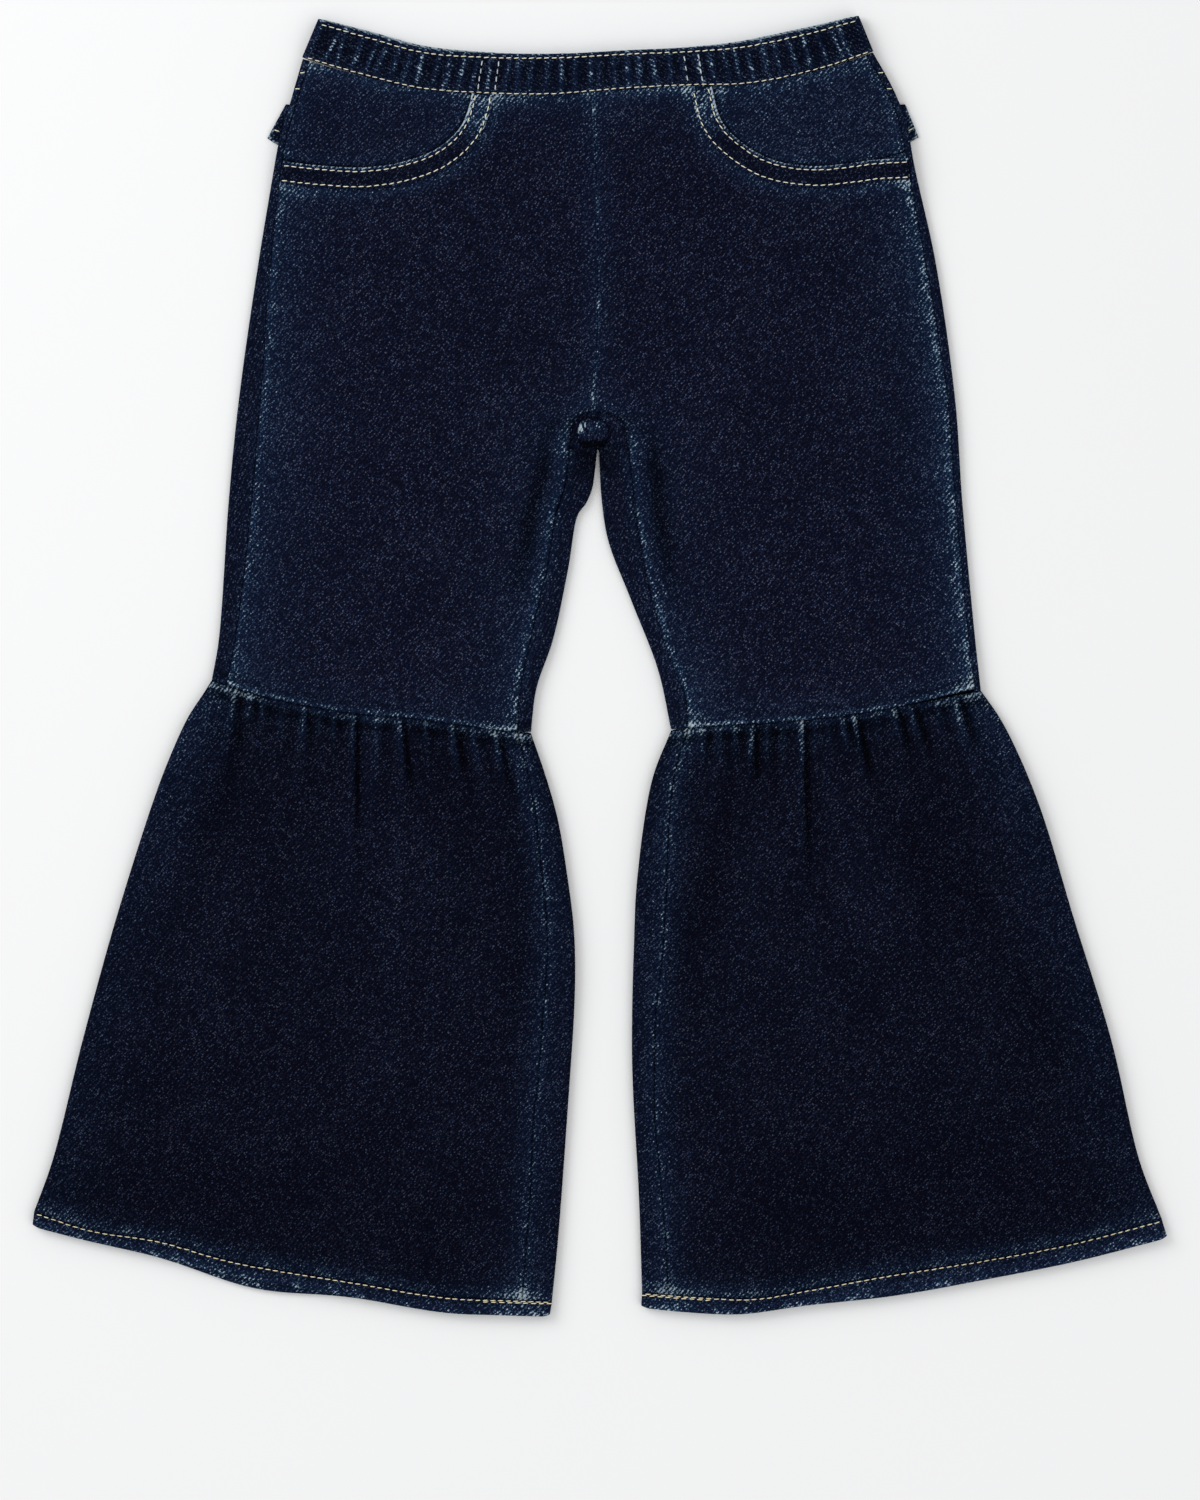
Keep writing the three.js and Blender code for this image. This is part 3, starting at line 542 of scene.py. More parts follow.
def scaled(tree, vector, by):
    return node(tree, "ShaderNodeVectorMath", {0: vector, 1: by}, operation="MULTIPLY").outputs[0]


def mix(tree, factor, first, second):
    made = node(tree, "ShaderNodeMix", {"Factor": factor}, data_type="RGBA")
    tree.links.new(first, made.inputs[6])
    tree.links.new(second, made.inputs[7])
    return made.outputs[2]


def ramp(tree, factor, stops):
    """A colour ramp from a list of places and linear colours."""
    made = node(tree, "ShaderNodeValToRGB", {"Fac": factor})
    elements = made.color_ramp.elements
    while len(elements) < len(stops):
        elements.new(0.5)
    for element, (place, colour) in zip(elements, stops):
        element.position = place
        element.color = (*colour, 1)
    return made.outputs[0]


def empty_material(name):
    material = bpy.data.materials.new(name)
    material.use_nodes = True
    material.node_tree.nodes.clear()
    return material, material.node_tree


def weave(tree, grain):
    """Twill lines, short floats of yarn with a tone and a hue each, and noise of three sizes."""
    place = node(tree, "ShaderNodeTexCoord").outputs["Object"]
    mm = node(tree, "ShaderNodeMapping", {"Vector": place, "Scale": (1000, 1000, 1000)}).outputs[0]
    turned = (0, 0, grain - TWILL_ANGLE)
    hatch = node(tree, "ShaderNodeMapping", {"Vector": mm, "Rotation": turned}).outputs[0]

    def noise(per_mm, detail):
        inputs = {"Vector": mm, "Scale": per_mm, "Detail": detail, "Roughness": 0.5}
        return node(tree, "ShaderNodeTexNoise", inputs).outputs[0]

    across = node(tree, "ShaderNodeSeparateXYZ", {0: hatch}).outputs[1]
    lines = math_node(tree, "MULTIPLY", across, 1 / TWILL_PITCH)
    phase = math_node(tree, "MULTIPLY_ADD", noise(0.5, 1.0), TWILL_WANDER, lines)
    wave = math_node(tree, "SINE", math_node(tree, "MULTIPLY", phase, 2 * math.pi))
    yarn = scaled(tree, hatch, FLOATS_PER_MM)
    floats = node(tree, "ShaderNodeTexVoronoi", {"Vector": yarn, "Scale": 1.0})
    tones = node(tree, "ShaderNodeSeparateColor", {0: floats.outputs["Color"]})
    return {
        "twill": math_node(tree, "MULTIPLY_ADD", wave, 0.5, 0.5),
        "dot": math_node(tree, "MULTIPLY_ADD", floats.outputs["Distance"], -2.1, 1.25, clamp=True),
        "pick": tones.outputs[0],
        "hue": tones.outputs[1],
        "fuzz": noise(1.3, 1.0),
        "blotch": noise(0.22, 2.0),
        "cloud": noise(0.035, 3.0),
    }


def unworn(tree, cloth):
    """How light each place of the unworn cloth is: mostly dark, with glints on some floats."""
    glint = math_node(tree, "MULTIPLY", cloth["dot"], math_node(tree, "POWER", cloth["pick"], 1.8))
    lines = math_node(tree, "MULTIPLY_ADD", cloth["twill"], 0.22, -0.10)
    level = math_node(tree, "MULTIPLY_ADD", glint, 1.12, lines)
    level = spread(tree, level, cloth["fuzz"], 0.8)
    level = spread(tree, level, cloth["cloud"], 0.24)
    return spread(tree, level, cloth["blotch"], 0.16, clamp=True)


def worn_away(tree, cloth, wear):
    """How far each place has turned pale: more of the floats do where the cloth is more worn."""
    lines = math_node(tree, "MULTIPLY", cloth["twill"], 0.50)
    ready = math_node(tree, "MULTIPLY_ADD", cloth["pick"], 0.40, lines)
    ready = math_node(tree, "ADD", ready, math_node(tree, "MULTIPLY_ADD", cloth["dot"], 0.5, -0.30))
    ready = spread(tree, ready, cloth["fuzz"], 1.0)
    ready = spread(tree, ready, cloth["blotch"], 0.6)
    past = math_node(tree, "MULTIPLY_ADD", wear, 1.25, math_node(tree, "SUBTRACT", ready, 0.94))
    return math_node(tree, "MULTIPLY", past, 1.8, clamp=True)


def denim(name, grain=0.0, tone=1.0):
    """Dark indigo twill. It fades where the wear attribute is high, and painted shade darkens it where the
    shade attribute is high.
    """
    material, tree = empty_material(name)
    cloth = weave(tree, math.radians(grain))
    wear = node(tree, "ShaderNodeAttribute", attribute_name="wear").outputs["Fac"]
    shade = node(tree, "ShaderNodeAttribute", attribute_name="shade").outputs["Fac"]
    level = unworn(tree, cloth)
    worn = worn_away(tree, cloth, wear)
    dark = mix(tree, cloth["hue"], ramp(tree, level, GREY_YARN), ramp(tree, level, BLUE_YARN))
    near_wear = math_node(tree, "MULTIPLY", wear, 1.5, clamp=True)
    hazy = mix(tree, near_wear, dark, ramp(tree, level, HAZE))
    bared = math_node(tree, "MULTIPLY", worn, 2.2, clamp=True)
    colour = mix(tree, bared, hazy, ramp(tree, worn, BARED_YARN))
    # Painted shade: the shade attribute darkens the colour, which the piece's tone also scales
    depth = math_node(tree, "MULTIPLY", math_node(tree, "MULTIPLY_ADD", shade, -0.78, 1.0), tone)
    fuzz_height = math_node(tree, "MULTIPLY", cloth["fuzz"], 0.8)
    height = math_node(tree, "MULTIPLY_ADD", cloth["twill"], 0.6, fuzz_height)
    bump = node(tree, "ShaderNodeBump", {"Height": height, "Strength": 0.6, "Distance": 0.0003})
    shader = node(tree, "ShaderNodeBsdfPrincipled", {
        "Base Color": scaled(tree, colour, depth), "Normal": bump.outputs[0], "Roughness": 0.95,
        "Specular IOR Level": 0.02, "Sheen Weight": 0.0})
    node(tree, "ShaderNodeOutputMaterial", {"Surface": shader.outputs[0]})
    return material


def thread(name, light, dark):
    """Topstitching thread: twisted plies, a little fuzzy, each stretch a slightly different tone."""
    material, tree = empty_material(name)
    place = node(tree, "ShaderNodeTexCoord").outputs["Object"]
    tone = node(tree, "ShaderNodeTexNoise", {"Vector": place, "Scale": 420.0, "Detail": 2.0}).outputs[0]
    plies = node(tree, "ShaderNodeTexWave", {"Vector": place, "Scale": 900.0, "Distortion": 2.0},
                 bands_direction="DIAGONAL").outputs["Fac"]
    level = math_node(tree, "MULTIPLY_ADD", plies, 0.35, math_node(tree, "MULTIPLY", tone, 0.8))
    colour = ramp(tree, level, [(0.25, dark), (0.72, light)])
    bump = node(tree, "ShaderNodeBump", {"Height": plies, "Strength": 0.5, "Distance": 0.0001})
    shader = node(tree, "ShaderNodeBsdfPrincipled", {
        "Base Color": colour, "Normal": bump.outputs[0], "Roughness": 0.6, "Specular IOR Level": 0.25})
    node(tree, "ShaderNodeOutputMaterial", {"Surface": shader.outputs[0]})
    return material


MATERIALS = {
    "front": denim("denim_front"),
    "hip": denim("denim_hip", grain=4),
    "back": denim("denim_back", grain=-14),
    "band": denim("denim_band", grain=78),
    "flare": denim("denim_flare", grain=3, tone=0.74),
    "hem": denim("denim_hem", grain=10),
}
THREAD = thread("thread_cream", (0.88, 0.85, 0.66), (0.56, 0.52, 0.34))
GOLD_THREAD = thread("thread_gold", (0.90, 0.81, 0.55), (0.56, 0.46, 0.25))
PALE_THREAD = thread("thread_pale", (0.62, 0.68, 0.68), (0.22, 0.27, 0.33))


def declare(obj, node_name, material):
    obj.data.materials.append(MATERIALS[material])
    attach(obj, "root")
    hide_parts(node_name)


# Fronts, hips and pocket edges

def front_cut(cut):
    """The edges of a front panel by name, and its plan."""
    inwards = cut["sign"] * SEAM_GAP / 2
    side = curve(beside(cut["side_seam"], -inwards))
    centre = beside(CENTRE_FRONT_SEAM, inwards)
    inseam = beside(cut["inseam"], inwards)
    arch = curve([centre[-1], *cut["arch"], inseam[0]])
    rows = [ROW["pocket"], ROW["arch"], ROW["crotch"], 1.0]
    inner_edge = chain([curve(centre), arch, curve(inseam)], rows)
    scoop_points = beside(cut["pocket"], inwards)
    waist = under_waist(scoop_points[-1][0], centre[0][0])
    scoop = curve([side(ROW["pocket"]), *scoop_points[1:-1], waist(0.0)])
    knee = curve([side(1.0), *cut["knee"][1:-1], inner_edge(1.0)])
    top = chain([scoop, waist], [0, SCOOP_SHARE, 1])
    lines = {
        "side": side, "centre": curve(centre), "arch": arch, "inseam": curve(inseam), "knee": knee,
        "waist": waist, "scoop": scoop,
    }
    return lines, patch(side, inner_edge, top, knee, low=ROW["pocket"])


def front_relief(x, y, to, furrow):
    """How far a front stands over its plain thickness."""
    edge = np.minimum.reduce([to[key] for key in to if key != "scoop"])
    sag = 0.5 * uneven(x, y, 52, 3) * smoothstep(edge, 2, 30) + 0.16 * uneven(x, y, 15, 4)
    puckers = 0.16 * waves(y, 6.4, 2.0 * uneven(x, y, 20, 5)) * bell(to["inseam"], 4.5)
    puckers += 0.12 * waves(y, 7.5) * bell(to["side"], 4)
    puckers += 0.14 * waves(x, 5.6, 2.5 * uneven(x, y, 18, 6)) * bell(to["knee"], 3.6)
    sewn = np.minimum.reduce([to["side"], to["centre"], to["inseam"]])
    turned = np.minimum.reduce([to["arch"], to["knee"], to["waist"]])
    rolled = np.maximum(rounded(sewn, SEAM_ROLL), rounded(turned))
    return bands(to, RIDGES["front"]) + sag + puckers - 0.7 * furrow - rolled


def front_fades(cut, x, y, to, down_inseam, furrow):
    """How worn a front is along its seams, folds and edges, and its painted shade there and in the furrow
    beside the inseam.
    """
    patchy = patches(x, y, 9, 7)
    broken = smoothstep(uneven(x, y, 2.6, 8) + 0.6 * uneven(x, y, 9, 9), -0.5, 0.6)
    wear = bands(to, FADES["front"]) + cut["side_fade"]["haze"] * bell(to["side"], 9)
    wear += cut["side_fade"]["line"] * (0.4 + 0.6 * patchy) * bell(to["side"] - 1.4, 1.5)
    wear += (0.14 + 0.40 * broken) * bell(to["centre"] - 0.2, 0.5)
    wear += (0.08 + 0.22 * broken) * smoothstep(down_inseam, 0.0, 0.3) * bell(to["inseam"] - 1.4, 1.2)
    wear += (0.2 + 0.2 * broken) * bell(to["knee"] - 1.2, 1.0)
    near_pocket = bell(np.abs(x) - cut["waist_fade_at"], 16)
    wear += (0.18 + 0.22 * near_pocket) * bell(to["waist"] - 1, 4)
    past_edge = to["scoop"] - POCKET_EDGE_WIDTH
    wear += 0.3 * bell(past_edge - 1.2, 3.4) * smoothstep(past_edge, -2.6, 0)
    # Painted shade: the furrow beside the inseam, and bands along the inseam, the crotch arch and the knee
    # seam
    return wear, 0.9 * furrow + bands(to, SHADES["front"])


def front_panel(cut):
    side = cut["side"]
    lines, plan = front_cut(cut)
    share = (ROW["pocket"] + (1 - ROW["pocket"]) * stations(210, PANEL_PITCH))[:, None]
    xy = plan(stations(140, PANEL_PITCH)[None, :], share)
    x, y = xy[..., 0], xy[..., 1]
    gaps = {key: near(xy, line) for key, line in lines.items()}
    to = {key: distance for key, (distance, _) in gaps.items()}
    down_inseam = gaps["inseam"][1]
    # A furrow beside the upper inseam, sunk in the relief and given painted shade
    furrow = bell(to["inseam"] - 9.5, 4.0) * smoothstep(down_inseam, -0.1, 0.1)
    furrow = furrow * (1 - smoothstep(down_inseam, 0.25, 0.7))
    top = leg_thickness(share) + frill_lift(y)
    wear, shade = front_fades(cut, x, y, to, down_inseam, furrow)
    obj = shell(f"front_{side}_cloth", lift_of(xy, top + front_relief(x, y, to, furrow)),
                lift_of(xy, top - CLOTH), wear, shade)
    declare(obj, f"front_{side}", "front")


def hip_cut(cut):
    """The edges of a hip facing by name, and its plan."""
    outwards = -cut["sign"] * SEAM_GAP / 2
    side = curve(beside(cut["side_seam"], outwards))
    scoop_points = beside(cut["pocket"], outwards)
    waist = under_waist(side(0.0)[0], scoop_points[-1][0])
    scoop = curve([side(HIP_END), *scoop_points[1:-1], waist(1.0)])
    inner_edge = lambda share: stretch(scoop, 1, HIP_CORNER)(np.asarray(share) / HIP_END)
    plan = patch(side, inner_edge, waist, stretch(scoop, 0, HIP_CORNER), high=HIP_END)
    return {"waist": waist, "side": stretch(side, 0, HIP_END), "scoop": scoop}, plan


def hip(cut):
    side = cut["side"]
    lines, plan = hip_cut(cut)
    xy = plan(stations(62, HIP_PITCH)[None, :], HIP_END * stations(41, HIP_PITCH)[:, None])
    x, y = xy[..., 0], xy[..., 1]
    to = {key: near(xy, line)[0] for key, line in lines.items()}
    rim = np.minimum(to["waist"], to["side"])
    top = LEG_THICKNESS + frill_lift(y)
    relief = bands(to, RIDGES["hip"]) + 0.25 * uneven(x, y, 26, 11) * smoothstep(rim, 1, 12)
    relief += 0.15 * waves(x, 5.4) * bell(to["waist"], 6)
    relief -= rounded(rim) + 0.5 * (1 - smoothstep(to["scoop"], 0.2, 3.0))
    wear = bands(to, FADES["hip"]) + cut["hip_fade"]
    wear += 0.22 * (0.4 + patches(x, y, 8, 12)) * bell(to["waist"] - 2.4, 3.0)
    # Painted shade in a band along the scoop edge
    obj = shell(f"hip_{side}_cloth", lift_of(xy, top + relief), lift_of(xy, top - CLOTH), wear,
                bands(to, SHADES["hip"]))
    declare(obj, f"hip_{side}", "hip")


def pocket_edge(cut):
    """The strip along a mock pocket, and the lines of its two stitch rows."""
    sign, side = cut["sign"], cut["side"]
    seam = beside(cut["pocket"], sign * SEAM_GAP / 2)
    seam[-1][1] -= WAIST_GAP
    line = curve(seam)
    share = 0.003 + 0.995 * stations(line.length, 0.9)
    run = (share * line.length)[None]
    edge = line(share)
    way = np.gradient(edge, axis=0)
    way /= np.linalg.norm(way, axis=1)[:, None]
    inwards = sign * np.stack([-way[:, 1], way[:, 0]], -1)
    d = POCKET_EDGE_WIDTH * stations(POCKET_EDGE_WIDTH, 0.45)[:, None]
    xy = edge[None] + d[..., None] * inwards[None]
    base = LEG_THICKNESS + 0.25 + frill_lift(xy[..., 1])
    ropes = 0.12 * waves(run, 4.2, 0.6 * d) + 0.04 * waves(run, 3.0)
    sunk = 0.28 * (bell(d - STITCH_IN, 0.55) + bell(d - STITCH_OUT, 0.55))
    z = base + POCKET_EDGE_CLOTH + ropes - sunk - rounded(np.minimum(d, POCKET_EDGE_WIDTH - d), 0.75)
    patchy = patches(xy[..., 0], xy[..., 1], 5, 14)
    near_waist = share[None]
    wear = (0.55 + 0.35 * patchy) * bell(d, 0.9) + 0.2 * bell(d - POCKET_EDGE_WIDTH, 0.8) + 0.05
    wear += 0.68 * smoothstep(near_waist, 0.76, 0.92) * (0.5 + 0.4 * patchy)
    # Painted shade on the strip between the two stitch rows, fading out towards the waist
    between_rows = smoothstep(d, 1.6, 2.6) * (1 - smoothstep(d, 6.6, 7.6))
    shade = 0.35 * between_rows * (1 - smoothstep(near_waist, 0.76, 0.88))
    obj = shell(f"pocket_edge_{side}_cloth", lift_of(xy, z), lift_of(xy, base), wear, shade)
    declare(obj, f"pocket_edge_{side}", "front")
    for offset in (STITCH_IN, STITCH_OUT):
        PATHS["pockets"].append({"line": edge + offset * inwards, "over": obj})


# Backs

def back_section(thickness, width, fold_at, side_lip, leg_lip):
    """A leg tube that is open between its two lips, which lie on the front from the folds to the seams."""
    radius = thickness / 2
    middle = (thickness - CLOTH) / 2
    top = thickness - CLOTH / 2
    lip = np.array([0, 0.12, 0.25, 0.4, 0.55, 0.7, 0.85])
    flat = np.linspace(0, 1, 70)[1:-1]
    parts = [
        (side_lip - (side_lip - radius) * lip, top, 0, 1),
        turn(radius, radius, middle, np.linspace(90, 270, BACK_TURN)),
        (radius + (fold_at - 2 * radius) * flat, CLOTH / 2, 0, -1),
        turn(fold_at - radius, radius, middle, np.linspace(-90, 90, BACK_TURN)),
        (width - radius - (leg_lip - radius) * (1 - lip[::-1]), top, 0, 1),
    ]
    inner_fold = len(lip) + BACK_TURN + len(flat)
    return section(parts), inner_fold


def back_fades(x, y, front, na, above_crotch, to):
    """How worn a back is on its lips, its folds and its hidden side, and its painted shade on the lips and
    above the knee seam.
    """
    patchy = patches(x, y, 8, 21)
    lips = 0.34 * patchy * bell(to["leg_seam"] - 1.2, 1.5) + 0.16 * bell(to["side_seam"] - 0.9, 1.0) + 0.1
    centre = 0.35 * bell(np.abs(x - CENTRE_BACK_X) - 1.2, 1.4) * above_crotch
    wear = np.where(front, lips, 0.04 + centre) + 0.16 * np.abs(na) * (0.4 + 0.6 * patchy)
    wear += 0.3 * patchy * bell(to["knee"] - 1.3, 1.0)
    # Painted shade: a band above the knee seam, and the lips that show on the front, darkest under the crotch
    # lump
    to_crotch = np.hypot(x - CROTCH_SHADOW[0], y - CROTCH_SHADOW[1])
    shade = bands(to, SHADES["back"]) + np.where(front, 0.25 + 0.7 * bell(to_crotch, 11), 0)
    return wear, shade


def yoke_rows(cut, obj, centre):
    """Two slanting stitch rows across the back, which come round the side fold to the side seam."""
    sign = cut["sign"]
    side_fold, side_seam = curve(cut["side_fold"]), curve(cut["side_seam"])
    for at_side, at_centre in YOKE_ROWS:
        fold, seam = x_at(side_fold, at_side), x_at(side_seam, at_side)
        hidden = curve([(fold - sign * 1.2, at_side), (centre + sign * 1.0, at_centre)])
        lip = curve([(fold - sign * 0.2, at_side), (seam - sign * 0.1, at_side)])
        PATHS["yoke"].append({"line": hidden(np.linspace(0, 1, 90)), "over": obj, "under": True})
        PATHS["yoke"].append({"line": lip(np.linspace(0, 1, 12)), "over": obj})


def back_panel(cut):
    sign, side = cut["sign"], cut["side"]
    side_fold, side_seam, inseam = curve(cut["side_fold"]), curve(cut["side_seam"]), curve(cut["inseam"])
    centre = CENTRE_BACK_X + sign * SEAM_GAP / 2
    waist = under_waist(side_fold(0.0)[0], centre)
    centre_back = curve([(centre, waist(1.0)[1]), (centre, cut["leg_fold"][0][1] + 0.8)])
    inner_edge = chain([centre_back, curve(cut["leg_fold"])], [0, ROW["crotch"], 1])
    knee = curve(cut["knee"])
    plan = patch(side_fold, inner_edge, waist, knee)
    trunk = ROW["crotch_cut"] * stations(150, 2.0, (True, False))
    legs = ROW["crotch"] + (1 - ROW["crotch"]) * stations(98, 1.8, (False, True))
    share = np.concatenate([trunk, legs])[:, None]
    thickness = leg_thickness(share)
    width = np.linalg.norm(side_fold(share) - inner_edge(share), axis=-1)
    down_leg = np.clip((share - ROW["crotch"]) / (1 - ROW["crotch"]), 0, 1)
    side_lip = np.linalg.norm(side_fold(share) - side_seam(share), axis=-1) - SEAM_GAP / 2
    leg_lip = np.linalg.norm(inner_edge(share) - inseam(down_leg), axis=-1) - SEAM_GAP / 2
    fold_at = np.where(share >= ROW["crotch"], width, width + thickness / 2)
    tube, inner_fold = back_section(thickness, width, fold_at, side_lip, leg_lip)
    a, _, na, nz = tube
    outer, inner = walls(plan, width, share, tube, CLOTH)
    x, y = outer[..., 0], outer[..., 1]
    front = nz > 0.5
    to = {
        "side_seam": np.abs(a - side_lip), "leg_seam": np.abs(a - (width - leg_lip)),
        "knee": near(outer[..., :2], knee)[0],
    }
    lumps = bands(to, RIDGES["back"]) + 0.12 * waves(y, 6.4) * bell(to["leg_seam"], 5)
    lumps -= rounded(np.minimum(to["side_seam"], to["leg_seam"]), SEAM_ROLL)
    wear, shade = back_fades(x, y, front, na, share < ROW["crotch"], to)
    lifted = frill_lift(y)
    outer[..., 2] += lifted + np.where(front, lumps, 0) - rounded(to["knee"]) * nz
    outer[..., 2] = np.maximum(outer[..., 2], 0)
    inner[..., 2] += lifted
    has = np.ones((len(share) - 1, a.shape[1] - 1), bool)
    has[:len(trunk), inner_fold:] = False
    obj = shell(f"back_{side}_cloth", outer, inner, wear, shade, has=has)
    declare(obj, f"back_{side}", "back")
    yoke_rows(cut, obj, centre)


# Flares

def flare_section(thickness, width, seam_at):
    """A flare's tube, all round from its seam at the inner leg."""
    radius = thickness / 2
    middle = (thickness - CLOTH) / 2
    top = thickness - CLOTH / 2
    gap = SEAM_GAP / 2
    front = stations(118, 0.92, (True, False))[:-1]
    back = np.linspace(0, 1, 92)[1:-1]
    lip = np.array([0.0, 0.03, 0.07, 0.12, 0.2, 0.32, 0.48, 0.64, 0.82])
    fold_at = width - radius
    return section([
        (seam_at - gap + (radius - seam_at + gap) * front, top, 0, 1),
        turn(radius, radius, middle, np.linspace(90, 270, FLARE_TURN)),
        (radius + (width - 2 * radius) * back, CLOTH / 2, 0, -1),
        turn(fold_at, radius, middle, np.linspace(-90, 90, FLARE_TURN)),
        (fold_at - (fold_at - seam_at - gap) * (1 - lip[::-1]), top, 0, 1),
    ])


def gather_share(down, run):
    """How much of a gather is left at a distance below the knee seam."""
    rise = GATHER_AT_SEAM + (1 - GATHER_AT_SEAM) * smoothstep(down, 0, GATHER_RISE)
    return rise * (1 - smoothstep(down, GATHER_RISE, run))


def flare_gathers(cut, a, share, length, side_fold, width_at):
    """The gathers' lift, how worn their crests are with a painted highlight on their lit side, and the
    painted shade on their sides away from the light.
    """
    sign = cut["sign"]
    down = share * length
    lift, crest, dark = np.zeros((3, *a.shape))
    for place, height, run, drift, steep in GATHERS[cut["side"]]:
        free = np.minimum(share, run / length)
        outwards = sign * (side_fold(free)[..., 0] - side_fold(0.0)[0])
        drifted = place + outwards + drift * free * length / run
        at = drifted * width_at(share) / width_at(free)
        size = gather_share(down, run)
        reach = 1.7 + 2.6 * np.clip(down / run, 0, 1)
        away = (at - a) * sign
        lift += height * size * bell(away * np.where(away > 0, steep, 1.0), reach)
        # The crest mark sits a little to the lit side of the ridge: wear and painted highlight together
        crest += np.clip(height - 0.6, 0, 1.3) * size * bell(away + 0.3, 0.8 + 0.15 * reach)
        # Painted shade on the side of each gather away from the light
        painted_shade_side = bell(away - reach * (0.4 + 0.9 / steep), 0.75 * reach / math.sqrt(steep))
        dark += (height - 0.8) * size * painted_shade_side
    return lift, crest, dark


def flare_troughs(side, xy):
    """The broad troughs' depth, and the painted shade in them."""
    x, y = xy[..., 0], xy[..., 1]
    depth, dark = np.zeros((2, *x.shape))
    for fold in TROUGHS[side]:
        distance, place = near(xy, curve(fold["line"]), 40)
        rising = np.array(fold["line"][::-1], float)
        reach = np.where(x < np.interp(y, rising[:, 1], rising[:, 0]), *fold["width"])
        strength = bell(distance, reach) * np.sin(math.pi * np.clip(place, 0.12, 0.88)) ** 0.7
        depth += fold["depth"] * strength
        # dark is the painted shade in the trough
        dark += fold["dark"] * strength
    return depth, dark


def flare_relief(x, y, down, to, lift, trough):
    """How far a flare's front stands over its plain thickness."""
    ridges = bands(to, RIDGES["flare"]) + 0.15 * waves(y, 6.2) * bell(to["seam"], 4.5)
    hem_wave = 0.45 * uneven(x, y, 34, 33) * smoothstep(down, 110, 200)
    sag = 0.45 * uneven(x, y, 46, 34) * smoothstep(to["knee"], 6, 50) + 0.14 * uneven(x, y, 13, 35)
    return lift - trough + hem_wave + ridges + sag


def flare_fades(x, y, a, width, down, front, na, to, crest, dark, trough_painted_shade):
    """How worn a flare is on its gathers, seams, folds and hem, with painted highlights on its crests, and
    its painted shade.
    """
    patchy = patches(x, y, 6, 36)
    # Broad stripes down the upper flare: painted light where positive, painted shade where negative
    painted_light_and_shade_streaks = uneven(a / width * 150, down * 0.1, 5.0, 37) * (1 - smoothstep(down, 30, 190))
    dashes = smoothstep(uneven(x, y, 1.9, 38), -0.5, 0.4)
    seam_line = (0.08 + 0.26 * dashes) * (0.5 + 0.5 * patchy) * bell(to["seam"] - 0.9, 0.75)
    on_front = seam_line + 0.19 * bell(to["seam"], 7) + 0.2 * bell(a, 14) * bell(down, 46)
    on_front += 0.15 * bell(a, 18) + 0.07 * bell(width - a, 20)
    wear = bands(to, FADES["flare"]) + (0.1 + 0.4 * patchy) * bell(to["knee"] - 1.8, 1.5)
    # Lighter crests below the knee seam: wear and painted highlight together
    wear += crest * (0.72 * bell(down, 13) + 0.18 * bell(down, 60)) * (0.45 + 0.55 * patchy)
    wear += 0.26 * (0.5 + patchy) * bell(to["hem"] - 1.8, 2.4)
    wear += 0.09 * bell(to["seam"], 12) * bell(to["hem"], 7)
    wear += 0.08 * np.abs(na) * patchy + 0.07 * np.maximum(painted_light_and_shade_streaks, 0) + np.where(front, on_front, 0)
    # Painted shade: the gathers' sides away from the light, the troughs, dark stripes, a band under the knee
    # seam between crests, the knee seam line, the lower flare away from the inner seam, and the inner seam
    # line
    shade = 1.1 * dark + 0.5 * trough_painted_shade + 0.3 * np.maximum(-painted_light_and_shade_streaks, 0)
    shade += 0.6 * bell(to["knee"] - 4.5, 2.2) * (1 - np.clip(1.4 * crest, 0, 1))
    shade += 0.7 * bell(to["knee"], 0.6)
    shade += 0.30 * smoothstep(down, 90, 210) * (1 - bell(to["seam"], 25))
    shade += np.where(front, 0.5 * bell(to["seam"], 0.4), 0)
    return wear, shade


